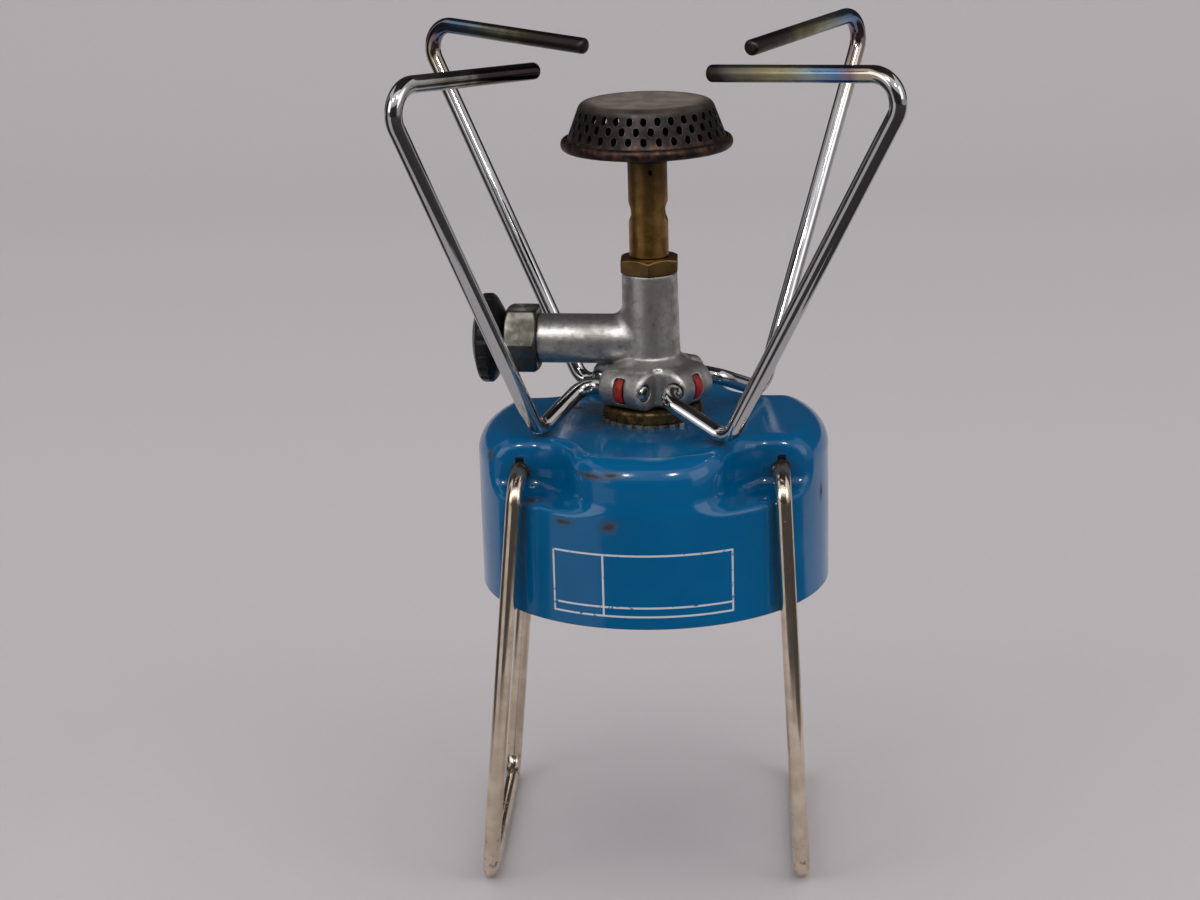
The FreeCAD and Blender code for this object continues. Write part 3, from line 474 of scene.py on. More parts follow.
near_bush = fade_out(tree, axis_distance(tree, spot), 14.0, 28.0)
soiled_and_shaded = times(tree, near_bush, mask(tree, mottle, Size=7.0, Low=0.38, High=0.62))
# Painted shade in the corners joins the dust near the bush and the halos round the rust marks.
corners = times(tree, mask(tree, corner_shade, Reach=3.0, Depth=0.8), 0.5)
soil_share = lerp(tree, fade(tree, x, -12.0, 12.0), 0.85, 0.3)
soiled_and_shaded = larger(tree, times(tree, soiled_and_shaded, soil_share), corners)
soiled_and_shaded = larger(tree, soiled_and_shaded, times(tree, halos, 0.55))
paint = mixed(tree, soiled_and_shaded, paint, ENAMEL_DUST_AND_SHADE)
paint = mixed(tree, bare, paint, ENAMEL_RUST)
smears = mask(tree, mottle, Size=14.0, Low=0.35, High=0.7)
gloss = lerp(tree, smears, 0.10, 0.19)
gloss = lerp(tree, larger(tree, soiled_and_shaded, bare), gloss, 0.7)
peel = times(tree, noise(tree, spot, 1.6, detail=2.0), 0.12)
pressed = plus(tree, noise(tree, spot, 13.0, detail=1.0), peel)
pressed = minus(tree, pressed, times(tree, bare, 0.3))
dull_share = times(tree, larger(tree, soiled_and_shaded, bare), ENAMEL_COAT)
set_shader(tree, shader, Base_Color=paint, Roughness=gloss, Specular_IOR_Level=0.3, Coat_Roughness=0.02,
           Coat_Weight=minus(tree, ENAMEL_COAT, dull_share), Normal=bump(tree, pressed, 0.14))
stand_in(bell, enamel, "blue_enamel", "stand", "bell")

# The bails
# Two U-shaped legs of dull nickelled wire, bent cold. Each end goes through a keyhole in the bell and is
# pinched into a pair of ears that keep it there; the right bail is nearly upright and the left one splays.
BAIL_WIRE = 4.3
BAIL_TAIL = 18.3
BAIL_PLANE = 34.976
BAIL_BENDS = (5.5, 6.0, 6.0, 5.5)
# Each bail: its side of the bell, and how far it splays in degrees.
BAIL_SPLAYS = {"bail_right": (1, 2.3), "bail_left": (-1, 5.6)}
EAR_MIDDLES = (19.55, 22.75)
EAR_HALF = (1.5, 0.6, 1.1)
EAR_OVERLAP = 0.2
EAR_RINGS = 7
EAR_SIDES = 20
EAR_BLUNTNESS = 0.55
BAIL_TIP = 0.5
BAIL_STEP = 12.0
WIRE_SIDES = 48
WIRE_END_RINGS = 6
LEAST_BEND_STEPS = 6
BEND_STEP_ANGLE = 6


def bent_line(corners, bends, step):
    """Points along straight runs joined by round bends, about a step apart on the runs."""
    line = []
    start = corners[0]
    for index, radius in enumerate(bends):
        corner = corners[index + 1]
        into = (corner - corners[index]).normalized()
        out = (corners[index + 2] - corner).normalized()
        turn = into.angle(out)
        setback = radius * math.tan(turn / 2)
        first = corner - into * setback
        runs = max(1, round((first - start).length / step))
        line += [start.lerp(first, share / runs) for share in range(runs)]
        inward = (out - into * into.dot(out)).normalized()
        centre = first + inward * radius
        arc_steps = max(LEAST_BEND_STEPS, round(math.degrees(turn) / BEND_STEP_ANGLE))
        for share in range(arc_steps):
            angle = turn * share / arc_steps
            line.append(centre - inward * radius * math.cos(angle) + into * radius * math.sin(angle))
        start = corner + out * setback
    runs = max(1, round((corners[-1] - start).length / step))
    return line + [start.lerp(corners[-1], share / runs) for share in range(runs + 1)]


def swept_wire(line, diameter, end_round):
    """Rings of points for a round wire along a line, with rounded ends, and each ring's distance."""
    radius = diameter / 2
    tangents = []
    for index in range(len(line)):
        ahead = line[min(index + 1, len(line) - 1)]
        behind = line[max(index - 1, 0)]
        tangents.append((ahead - behind).normalized())
    stations = []
    for angle in np.radians(np.linspace(0, 90, WIRE_END_RINGS)):
        stations.append((end_round * (1 - math.cos(angle)), radius - end_round * (1 - math.sin(angle))))
    normal = tangents[0].orthogonal().normalized()
    rings = []
    distances = []
    travelled = 0.0
    for index, spot in enumerate(line):
        tangent = tangents[index]
        normal = (normal - tangent * normal.dot(tangent)).normalized()
        side = tangent.cross(normal)
        if index:
            travelled += (spot - line[index - 1]).length
        if index == 0:
            rounds = stations
        elif index == len(line) - 1:
            rounds = [(-step, size) for step, size in reversed(stations)]
        else:
            rounds = [(0.0, radius)]
        for step, size in rounds:
            ring = []
            for turn in np.linspace(0, 2 * math.pi, WIRE_SIDES, endpoint=False):
                outward = normal * math.cos(turn) + side * math.sin(turn)
                ring.append(spot + tangent * step + outward * size)
            rings.append(ring)
            distances.append(travelled + step)
    return rings, distances


def wire_mesh(rings):
    """A closed wire from its rings, each end shut by one face."""
    return [spot for ring in rings for spot in ring], capped_faces(len(rings), WIRE_SIDES)


def ear_lump(centre):
    """A small rounded block, as the pinched wire swells out."""
    points = []
    for rise in np.linspace(-math.pi / 2, math.pi / 2, EAR_RINGS + 2)[1:-1]:
        for turn in np.linspace(0, 2 * math.pi, EAR_SIDES, endpoint=False):
            unit = (math.cos(rise) * math.cos(turn), math.cos(rise) * math.sin(turn), math.sin(rise))
            blunt = [math.copysign(abs(part) ** EAR_BLUNTNESS, part) for part in unit]
            points.append(centre + Vector([part * half for part, half in zip(blunt, EAR_HALF)]))
    return points, capped_faces(EAR_RINGS, EAR_SIDES)


def join(points, faces, more_points, more_faces):
    """Adds one mesh's points and faces to another's."""
    start = len(points)
    points += more_points
    faces += [tuple(corner + start for corner in face) for face in more_faces]


NICKEL = (0.80, 0.69, 0.56, 1)
NICKEL_DULL = (0.62, 0.51, 0.40, 1)
NICKEL_RUST = (0.085, 0.042, 0.020, 1)
NICKEL_GRIME = (0.060, 0.043, 0.028, 1)
nickel, tree, shader = new_material("bail_steel")
spot = place(tree)
_, y, height = put(tree, "SeparateXYZ", {0: spot}).outputs
tarnish = mask(tree, mottle, Size=9.0, Low=0.36, High=0.66)
metal = mixed(tree, tarnish, NICKEL, NICKEL_DULL)
pits = mask(tree, specks, Spacing=2.6, Share=0.14, Spread=0.10)
low_down = fade_out(tree, height, 3.0, 26.0)
low_rust = times(tree, low_down, mask(tree, mottle, Size=2.4, Low=0.56, High=0.70))
rust = larger(tree, times(tree, pits, 0.8), low_rust)
metal = mixed(tree, rust, metal, NICKEL_RUST)
near_bell = fade_out(tree, arithmetic(tree, "ABSOLUTE", y), 24.0, 34.0)
near_bell = times(tree, near_bell, fade(tree, height, 98.0, 106.0))
grime = times(tree, near_bell, mask(tree, mottle, Size=2.0, Low=0.28, High=0.5))
metal = mixed(tree, grime, metal, NICKEL_GRIME)
drawn = noise(tree, stretched(tree, spot, (1.0, 1.0, 0.06)), 0.35, detail=2.0)
roughness = lerp(tree, tarnish, 0.13, 0.24)
roughness = lerp(tree, larger(tree, rust, grime), roughness, 0.75)
relief = plus(tree, times(tree, drawn, 0.4), times(tree, rust, 0.7))
set_shader(tree, shader, Base_Color=metal, Roughness=roughness, Normal=bump(tree, relief, 0.03),
           Metallic=minus(tree, 1.0, times(tree, rust, 0.8)))
for name, (side, splay) in BAIL_SPLAYS.items():
    foot = PIVOT_Z - (PIVOT_Z - BAIL_WIRE / 2) / math.cos(math.radians(splay))
    corners = [(-BAIL_TAIL, PIVOT_Z), (-BAIL_PLANE, PIVOT_Z), (-BAIL_PLANE, foot)]
    corners += [(-along, up) for along, up in reversed(corners)]
    line = bent_line([Vector((PIVOT_X, *corner)) for corner in corners], BAIL_BENDS, BAIL_STEP)
    rings, _ = swept_wire(line, BAIL_WIRE, BAIL_TIP)
    points, faces = wire_mesh(rings)
    for middle in EAR_MIDDLES:
        for front in (-1, 1):
            ear = Vector((PIVOT_X - EAR_HALF[0] + EAR_OVERLAP, front * middle, PIVOT_Z))
            join(points, faces, *ear_lump(ear))
    swing = Matrix.Rotation(math.radians(-splay), 3, "Y")
    pivot = Vector((PIVOT_X, 0, PIVOT_Z))
    placed = [pivot + swing @ (spot - pivot) for spot in points]
    placed = [(side * spot.x, spot.y, spot.z) for spot in placed]
    bail = add_mesh(name + "_wire", placed, faces, sharp_angle=60)
    stand_in(bail, nickel, "bail_steel", name, name)

# The bush, its washer and its locknut
# A turned brass bush clamps the bell's top between its flange and a locknut, over a toothed steel washer.
# The brass has gone dark and dull, and painted shade darkens the washer's teeth and other corners.
BRASS = (0.19, 0.12, 0.045, 1)
BRASS_DARK = (0.040, 0.031, 0.015, 1)
STEEL = (0.50, 0.49, 0.47, 1)
STEEL_DULL = (0.16, 0.15, 0.14, 1)
METAL_SHADE = (0.02, 0.018, 0.015, 1)
TURNED = (0.05, 0.05, 1.0)
SAME_POINT = 0.002


def softened(name, node, voxel, rounds):
    """A copy of a CAD solid with its edges rounded a little, as casting or wear leaves them."""
    work = bmesh.new()
    work.from_mesh(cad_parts[node].data)
    bmesh.ops.remove_doubles(work, verts=work.verts, dist=SAME_POINT * MM)
    mesh = bpy.data.meshes.new(name)
    work.to_mesh(mesh)
    work.free()
    piece = put_in_scene(name, mesh)
    remesh = piece.modifiers.new("remesh", "REMESH")
    remesh.mode = "VOXEL"
    remesh.voxel_size = voxel * MM
    smooth = piece.modifiers.new("smooth", "SMOOTH")
    smooth.factor = 0.5
    smooth.iterations = rounds
    settle(piece)
    return piece


def dress(material, *nodes):
    """Gives CAD nodes that stay as they are a material."""
    for name in nodes:
        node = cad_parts[name]
        node.data.materials.clear()
        node.data.materials.append(material)


def metal_material(name, bright, dull, size, smooth, rough, lines=(1, 1, 1)):
    """Metal with blotches from bright to dull, painted shade in the corners, rubbed edges and fine lines.
    """
    material, tree, shader = new_material(name)
    blotch = mask(tree, mottle, Size=size, Low=0.36, High=0.64)
    metal = mixed(tree, blotch, bright, dull)
    edges = mask(tree, worn, Width=0.35, Breakup=4.0)
    metal = tint(tree, metal, edges, 0.6, bright)
    # Painted shade darkens the corners.
    corners = mask(tree, corner_shade, Reach=2.5, Depth=0.75)
    metal = tint(tree, metal, corners, 0.7, METAL_SHADE)
    grain = noise(tree, stretched(tree, place(tree), lines), 0.3, detail=3.0)
    roughness = lerp(tree, blotch, smooth, rough)
    roughness = lerp(tree, corners, roughness, 0.8)
    set_shader(tree, shader, Base_Color=metal, Metallic=1.0, Roughness=roughness,
               Normal=bump(tree, grain, 0.02))
    return material


bush_brass = metal_material(
    "bush_brass", BRASS, BRASS_DARK, size=2.6, smooth=0.42, rough=0.65, lines=TURNED,
)
plain_steel = metal_material("plain_steel", STEEL, STEEL_DULL, size=3.0, smooth=0.25, rough=0.5)
bush = softened("bush_turned", "threaded_bush", voxel=0.3, rounds=3)
stand_in(bush, bush_brass, "bush_brass", "stand", "threaded_bush")
dress(bush_brass, "bush_locknut", "jet")
dress(plain_steel, "lock_washer", "piercing_needle", "valve_needle", "valve_spindle", "handwheel_screw")

# The seals
# A nitrile washer round the piercing needle seals the cartridge, and a packing ring seals the spindle.
RUBBER = (0.012, 0.012, 0.012, 1)
RUBBER_BLOOM = (0.05, 0.05, 0.048, 1)
seal_rubber, tree, shader = new_material("seal_rubber")
bloom = mask(tree, mottle, Size=2.0, Low=0.4, High=0.7)
set_shader(tree, shader, Base_Color=mixed(tree, bloom, RUBBER, RUBBER_BLOOM),
           Roughness=lerp(tree, bloom, 0.55, 0.8), Normal=bump(tree, noise(tree, place(tree), 0.4), 0.03))
dress(seal_rubber, "seal_washer", "packing_ring")

# The valve body
# A zinc die casting screwed into the bush: a cross of four hinge barrels, an upright tube and a side arm
# for the valve. Its skin is grey and stained, rubbed bright on the edges, with painted shade in the
# corners.
ALLOY = (0.55, 0.537, 0.517, 1)
ALLOY_STAIN = (0.28, 0.27, 0.256, 1)
ALLOY_STREAK = (0.17, 0.157, 0.145, 1)
ALLOY_BARE = (0.80, 0.79, 0.77, 1)
ALLOY_PIT = (0.05, 0.045, 0.04, 1)
ALLOY_SHADE = (0.025, 0.022, 0.02, 1)
cast_alloy, tree, shader = new_material("cast_alloy")
spot = place(tree)
stain = mask(tree, mottle, Size=6.0, Low=0.34, High=0.66)
alloy = mixed(tree, stain, ALLOY, ALLOY_STAIN)
streaks = mask(tree, mottle, Size=1.7, Low=0.52, High=0.72)
alloy = tint(tree, alloy, streaks, 0.6, ALLOY_STREAK)
bright_edges = mask(tree, worn, Width=0.6, Breakup=2.0)
alloy = tint(tree, alloy, bright_edges, 0.7, ALLOY_BARE)
pits = mask(tree, specks, Spacing=1.2, Share=0.25, Spread=0.12)
alloy = tint(tree, alloy, pits, 0.7, ALLOY_PIT)
# Painted shade darkens the corners.
corners = mask(tree, corner_shade, Reach=4.0, Depth=0.8)
alloy = tint(tree, alloy, corners, 0.8, ALLOY_SHADE)
roughness = lerp(tree, stain, 0.30, 0.46)
roughness = lerp(tree, corners, roughness, 0.85)
sparkle = times(tree, noise(tree, spot, 0.3), 0.8)
skin_grain = plus(tree, noise(tree, spot, 1.3), sparkle)
skin_grain = minus(tree, skin_grain, times(tree, pits, 0.6))
set_shader(tree, shader, Base_Color=alloy, Metallic=0.9, Roughness=roughness,
           Normal=bump(tree, skin_grain, 0.08))
casting = softened("valve_casting", "valve_body", voxel=0.36, rounds=4)
stand_in(casting, cast_alloy, "cast_alloy", "head", "valve_body")

# The friction rings
# Red fibre rings in slots of the hinge barrels; they grip the wire so that a folded arm stays where it is
# put. Their rounded rims stand a little out of the slots.
HINGE_TURNS = (-34.0, 56.0, 146.0, 236.0)
HINGE_REACH = 12.3
HINGE_HEIGHT = 127.95
RING_BORE = 2.3
RING_CORE = 2.75
RING_BULGE = 0.85
RING_HALF = 1.35
RING_SIDES = 64
RING_RIM_POINTS = 11
FIBRE_RED = (0.34, 0.020, 0.018, 1)
FIBRE_SOOT = (0.10, 0.018, 0.015, 1)
FIBRE_SHADE = (0.020, 0.012, 0.010, 1)
ring_outline = [(RING_BORE, -RING_HALF), (RING_BORE, RING_HALF)]
for turn in np.linspace(math.pi / 2, -math.pi / 2, RING_RIM_POINTS):
    ring_outline.append((RING_CORE + RING_BULGE * math.cos(turn), RING_HALF * math.sin(turn)))
points = []
faces = []
for hinge_turn in HINGE_TURNS:
    spin = Matrix.Rotation(math.radians(hinge_turn), 3, "Z")
    ring_points = []
    for radius, along in ring_outline:
        for turn in np.linspace(0, 2 * math.pi, RING_SIDES, endpoint=False):
            reach = HINGE_REACH + radius * math.cos(turn)
            ring_points.append(spin @ Vector((reach, along, HINGE_HEIGHT + radius * math.sin(turn))))
    join(points, faces, ring_points, grid_faces(len(ring_outline), RING_SIDES, looped=True))
rings = add_mesh("friction_ring_set", points, faces, sharp_angle=60)
friction_red, tree, shader = new_material("friction_red")
soot = mask(tree, mottle, Size=2.0, Low=0.46, High=0.74)
# Painted shade where the rings sink into their slots.
sunk_shade = mask(tree, corner_shade, Reach=1.2, Depth=0.7)
fibre = mixed(tree, soot, FIBRE_RED, FIBRE_SOOT)
set_shader(tree, shader, Base_Color=mixed(tree, sunk_shade, fibre, FIBRE_SHADE), Specular_IOR_Level=0.2,
           Roughness=lerp(tree, soot, 0.5, 0.8), Normal=bump(tree, noise(tree, place(tree), 0.35), 0.05))
stand_in(rings, friction_red, "friction_red", "head", "friction_rings")

# The gland nut
# A nickelled hexagon nut on the end of the side arm that squeezes the packing round the spindle. The
# plating has gone dull in blotches.
NUT_PLATING = (0.165, 0.156, 0.135, 1)
NUT_DULL = (0.085, 0.079, 0.065, 1)
nut_nickel = metal_material("nut_nickel", NUT_PLATING, NUT_DULL, size=5.0, smooth=0.32, rough=0.5)
nut = softened("gland_nut_worn", "gland_nut", voxel=0.22, rounds=3)
stand_in(nut, nut_nickel, "nut_nickel", "head", "gland_nut")

# The handwheel
# A black phenolic wheel with a fluted rim, moulded in one piece and screwed to the spindle.
WHEEL_BLACK = (0.006, 0.006, 0.007, 1)
WHEEL_DUST = (0.016, 0.015, 0.015, 1)
WHEEL_RUBBED = (0.07, 0.068, 0.066, 1)
wheel_black, tree, shader = new_material("wheel_black")
spot = place(tree)
dust = mask(tree, mottle, Size=3.0, Low=0.42, High=0.7)
rubbed = mask(tree, worn, Width=0.4, Breakup=2.0)
plastic = tint(tree, WHEEL_BLACK, dust, 0.6, WHEEL_DUST)
plastic = tint(tree, plastic, rubbed, 0.5, WHEEL_RUBBED)
set_shader(tree, shader, Base_Color=plastic, Roughness=lerp(tree, dust, 0.32, 0.55), Specular_IOR_Level=0.2,
           Normal=bump(tree, noise(tree, spot, 0.5), 0.03))
wheel = softened("handwheel_moulded", "handwheel", voxel=0.25, rounds=3)
stand_in(wheel, wheel_black, "wheel_black", "wheel", "handwheel")

# The jet holder and the burner tube
# A brass hexagon screwed into the casting holds the jet and the filter, and carries the mixing tube. The
# tube is cross-drilled for air, and heat has browned it from the top down.
TUBE_FOOT = 161.1
TUBE_TOP = 189.5
TUBE_RADIUS = 5.1
TUBE_WALL = 0.8
TUBE_CHAMFER = 0.25
TUBE_COLUMNS = 64
AIR_HOLE_RADIUS = 2.7
AIR_HOLE_HEIGHT = 172.9
PUNCH_MARK = (0.9, -5.1, 183.7)
BAR_SIDES = 40
TUBE_BRASS = (0.37, 0.216, 0.066, 1)
TUBE_DULL = (0.21, 0.117, 0.034, 1)
TUBE_BURNT = (0.10, 0.06, 0.027, 1)
TUBE_EDGE = (0.50, 0.36, 0.16, 1)
TUBE_SUNK_SHADE = (0.02, 0.014, 0.009, 1)
HEXAGON_BRASS = (0.11, 0.078, 0.04, 1)
BRONZE = (0.38, 0.22, 0.10, 1)
BRONZE_DULL = (0.16, 0.09, 0.04, 1)


def lathe(name, outline, columns, sharp_angle=None):
    """A ring-shaped solid turned from a closed outline of (radius, height) points."""
    turns = np.linspace(0, 2 * math.pi, columns, endpoint=False)
    points = []
    for radius, height in outline:
        points += [(radius * math.cos(turn), radius * math.sin(turn), height) for turn in turns]
    return add_mesh(name, points, grid_faces(len(outline), columns, looped=True), sharp_angle)


def round_bar(name, radius, start, end):
    """A plain round cutter between two points."""
    axis = (end - start).normalized()
    normal = axis.orthogonal().normalized()
    side = axis.cross(normal)
    points = []
    for middle in (start, end):
        for turn in np.linspace(0, 2 * math.pi, BAR_SIDES, endpoint=False):
            points.append(middle + (normal * math.cos(turn) + side * math.sin(turn)) * radius)
    return add_mesh(name, points, capped_faces(2, BAR_SIDES))


tube_outline = [
    (TUBE_RADIUS - TUBE_WALL, TUBE_FOOT),
    (TUBE_RADIUS - TUBE_CHAMFER, TUBE_FOOT),
    (TUBE_RADIUS, TUBE_FOOT + TUBE_CHAMFER),
    (TUBE_RADIUS, AIR_HOLE_HEIGHT),
    (TUBE_RADIUS, TUBE_TOP),
    (TUBE_RADIUS - TUBE_WALL, TUBE_TOP),
]
tube = lathe("mixing_tube", tube_outline, TUBE_COLUMNS)
hole_start = Vector((-2 * TUBE_RADIUS, 0, AIR_HOLE_HEIGHT))
hole_end = Vector((2 * TUBE_RADIUS, 0, AIR_HOLE_HEIGHT))
cut_out(tube, round_bar("air_hole", AIR_HOLE_RADIUS, hole_start, hole_end), sharp_angle=40)
tube_brass, tree, shader = new_material("tube_brass")
spot = place(tree)
height = put(tree, "SeparateXYZ", {0: spot}).outputs[2]
drift = times(tree, noise(tree, spot, 5.0), 14.0)
heat = fade(tree, plus(tree, height, drift), 176.0, 198.0)
tarnish = mask(tree, mottle, Size=4.0, Low=0.36, High=0.64)
brass = mixed(tree, tarnish, TUBE_BRASS, TUBE_DULL)
brass = mixed(tree, heat, brass, TUBE_BURNT)
on_hexagon = fade_out(tree, height, TUBE_FOOT - 0.2, TUBE_FOOT + 0.2)
brass = tint(tree, brass, on_hexagon, 0.6, HEXAGON_BRASS)
edges = mask(tree, worn, Width=0.3, Breakup=2.0)
brass = tint(tree, brass, edges, 0.5, TUBE_EDGE)
# Painted shade darkens the corners and the punch mark's dent.
corners = mask(tree, corner_shade, Reach=3.0, Depth=0.8)
punch = put(tree, "VectorMath", {0: spot, 1: PUNCH_MARK}, operation="DISTANCE").outputs["Value"]
punched = fade_out(tree, punch, 0.5, 0.95)
sunk_shade = larger(tree, punched, times(tree, corners, 0.8))
brass = mixed(tree, sunk_shade, brass, TUBE_SUNK_SHADE)
lines = noise(tree, stretched(tree, spot, TURNED), 0.35)
relief = minus(tree, times(tree, lines, 0.12), punched)
set_shader(tree, shader, Base_Color=brass, Metallic=1.0, Roughness=lerp(tree, heat, 0.38, 0.55),
           Normal=bump(tree, relief, 0.2))
stand_in(tube, tube_brass, "tube_brass", "head", "burner_tube")
holder = softened("jet_hexagon", "jet_holder", voxel=0.22, rounds=2)
stand_in(holder, tube_brass, "tube_brass", "head", "jet_holder")
filter_bronze = metal_material("filter_bronze", BRONZE, BRONZE_DULL, size=0.5, smooth=0.5, rough=0.7)
dress(filter_bronze, "jet_filter")

# The burner dish and cap
# Two steel pressings: a shallow dish on the tube, and a perforated cap held by the dish's rolled rim. The
# heat has turned them dark, with rusty brown on the skirt and the rim; the cap is paler on its top, and
# painted shade darkens their inner hollows.
# An outline's heights are above DISH_TOP for the cap and the dish's seat, and above the floor elsewhere.
DISH_TOP = 190.9
DISH_RIM = 22.1
DISH_ROLL = (1.15, 1.45)
DISH_ROLL_DROP = 0.15
DISH_ROLL_SWEEP = 100
DISH_ROLL_POINTS = 13
DISH_NECK = (5.15, 5.95)
DISH_FOOT = 186.1
DISH_UNDERSIDE = [(5.95, 187.6), (6.3, 187.9), (12.0, 188.4), (19.8, 189.15)]
DISH_SEAT = [(20.95, 0.95), (21.03, 0.6), (21.03, 0.0), (19.4, 0.0)]
DISH_COLUMNS = 128
CAP_FLANGE = [(20.95, 0.35), (20.85, 0.75), (20.55, 1.0), (20.36, 1.35)]
CAP_CROWN = [
    (17.15, 9.55), (16.75, 10.0), (16.2, 10.33), (15.5, 10.52), (14.7, 10.58), (13.9, 10.5),
    (13.2, 10.32), (12.5, 10.18), (11.6, 10.1), (8.0, 10.08), (4.0, 10.07),
]
CAP_COLUMNS = 32
CAP_ROWS = 3
PORT_PITCH = 2.4
PORT_FIRST = 3.0
PORT_HALF = (0.86, 1.08)
SKIRT_FOOT = (20.25, 1.5)
SKIRT_TOP = (17.45, 9.0)
CAP_SHEET = 0.7
CELL_STEPS = 4
OXIDE = (0.023, 0.0172, 0.0168, 1)
OXIDE_DARK = (0.0105, 0.008, 0.0079, 1)
CAP_TOP_PALE = (0.43, 0.365, 0.32, 1)
CAP_RUST = (0.13, 0.055, 0.028, 1)
CAP_FLECK = (0.22, 0.13, 0.08, 1)
CAP_RUBBED = (0.26, 0.23, 0.20, 1)
CAP_INSIDE_SHADE = (0.006, 0.005, 0.005, 1)


def skirt_radius(height):
    """The radius of the cap's slanting skirt at a height above the dish."""
    share = (height - SKIRT_FOOT[1]) / (SKIRT_TOP[1] - SKIRT_FOOT[1])
    return SKIRT_FOOT[0] + (SKIRT_TOP[0] - SKIRT_FOOT[0]) * share


def cap_point(radius, turn, height):
    """A point on the cap from its radius, its turn in quarter cells and its height above the dish."""
    angle = 2 * math.pi * turn / (CAP_COLUMNS * CELL_STEPS)
    return (radius * math.cos(angle), radius * math.sin(angle), DISH_TOP + height)


def cell_border(middle, low):
    """The (turn, height) corners round one port's cell, from its lower left."""
    left = middle - CELL_STEPS / 2
    right = middle + CELL_STEPS / 2
    border = [(left + step, low) for step in range(CELL_STEPS)]
    border += [(right, low + PORT_PITCH * step / CELL_STEPS) for step in range(CELL_STEPS)]
    border += [(right - step, low + PORT_PITCH) for step in range(CELL_STEPS)]
    border += [(left, low + PORT_PITCH * (1 - step / CELL_STEPS)) for step in range(CELL_STEPS)]
    return border


def cap_mesh():
    """The cap as one sheet: rings for the flange and the crown, and a cell with an oval hole per port."""
    columns = CAP_COLUMNS * CELL_STEPS
    points = []
    faces = []
    seen = {}

    def corner(turn, height):
        """A corner that cells and rings share, if it agrees to an eighth of a step and a micron."""
        key = (round(turn * 8) % (columns * 8), round(height * 1000))
        if key not in seen:
            seen[key] = len(points)
            points.append(cap_point(skirt_radius(height), turn, height))
        return seen[key]

    band_foot = PORT_FIRST - PORT_PITCH / 2
    band_top = band_foot + CAP_ROWS * PORT_PITCH
    for row in range(CAP_ROWS):
        low = band_foot + row * PORT_PITCH
        for column in range(CAP_COLUMNS):
            middle = (column + 0.5 * (row % 2)) * CELL_STEPS
            border = cell_border(middle, low)
            outside = [corner(*spot) for spot in border]
            hole = []
            centre = low + PORT_PITCH / 2
            quarter = 2 * math.pi * skirt_radius(centre) / columns
            for turn, height in border:
                angle = math.atan2((height - centre) / PORT_PITCH, (turn - middle) / CELL_STEPS)
                up = centre + PORT_HALF[1] * math.sin(angle)
                along = middle + PORT_HALF[0] * math.cos(angle) / quarter
                hole.append(len(points))
                points.append(cap_point(skirt_radius(up), along, up))
            for here in range(len(border)):
                after = (here + 1) % len(border)
                faces.append((outside[here], outside[after], hole[after], hole[here]))
    below = CAP_FLANGE + [(skirt_radius(band_foot), band_foot)]
    above = [(skirt_radius(band_top), band_top)] + CAP_CROWN
    for outline in (below, above):
        rings = []
        for radius, height in outline:
            if height in (band_foot, band_top):
                rings.append([corner(turn, height) for turn in range(columns)])
            else:
                rings.append(list(range(len(points), len(points) + columns)))
                points.extend(cap_point(radius, turn, height) for turn in range(columns))
        for lower, upper in zip(rings, rings[1:]):
            for turn in range(columns):
                after = (turn + 1) % columns
                faces.append((lower[turn], lower[after], upper[after], upper[turn]))
    faces.append(tuple(rings[-1]))
    return points, faces


burnt_steel, tree, shader = new_material("burnt_steel")
spot = place(tree)
height = put(tree, "SeparateXYZ", {0: spot}).outputs[2]
scale = mask(tree, mottle, Size=5.0, Low=0.35, High=0.65)
oxide = mixed(tree, scale, OXIDE, OXIDE_DARK)
drift = times(tree, noise(tree, spot, 6.0), 3.0)
outward = plus(tree, axis_distance(tree, spot), drift)
# The cap is paler on its flat top.
on_top = fade_out(tree, outward, 14.0, 20.0)
on_top = times(tree, on_top, fade(tree, height, DISH_TOP + 8.0, DISH_TOP + 10.0))
oxide = mixed(tree, on_top, oxide, CAP_TOP_PALE)
low_down = fade_out(tree, plus(tree, height, drift), DISH_TOP + 1.5, DISH_TOP + 6.0)
rusty = times(tree, low_down, mask(tree, mottle, Size=2.2, Low=0.42, High=0.66))
oxide = tint(tree, oxide, rusty, 0.7, CAP_RUST)
flecks = mask(tree, specks, Spacing=1.3, Share=0.2, Spread=0.12)
oxide = tint(tree, oxide, flecks, 0.6, CAP_FLECK)
rubbed = mask(tree, worn, Width=0.3, Breakup=1.5)
oxide = tint(tree, oxide, rubbed, 0.5, CAP_RUBBED)
# Painted shade darkens the hollows inside the cap and the dish.
inside = mask(tree, corner_shade, Reach=12.0, Depth=0.8)
oxide = mixed(tree, inside, oxide, CAP_INSIDE_SHADE)
flakes = plus(tree, noise(tree, spot, 0.8), times(tree, flecks, 0.5))
roughness = lerp(tree, inside, lerp(tree, scale, 0.40, 0.58), 0.9)
set_shader(tree, shader, Base_Color=oxide, Metallic=0.75, Roughness=roughness,
           Normal=bump(tree, flakes, 0.05))
cap = add_mesh("perforated_cap", *cap_mesh())
sheet = cap.modifiers.new("sheet", "SOLIDIFY")
sheet.thickness = CAP_SHEET * MM
sheet.offset = -1.0
settle(cap, sharp_angle=45)
stand_in(cap, burnt_steel, "burnt_steel", "head", "burner_cap")
dish_outline = [(radius, DISH_FOOT) for radius in DISH_NECK] + DISH_UNDERSIDE
for angle in np.radians(np.linspace(-DISH_ROLL_SWEEP, DISH_ROLL_SWEEP, DISH_ROLL_POINTS)):
    radius = DISH_RIM - DISH_ROLL[0] + DISH_ROLL[0] * math.cos(angle)
    dish_outline.append((radius, DISH_TOP - DISH_ROLL_DROP + DISH_ROLL[1] * math.sin(angle)))
dish_outline += [(radius, DISH_TOP + height) for radius, height in DISH_SEAT]
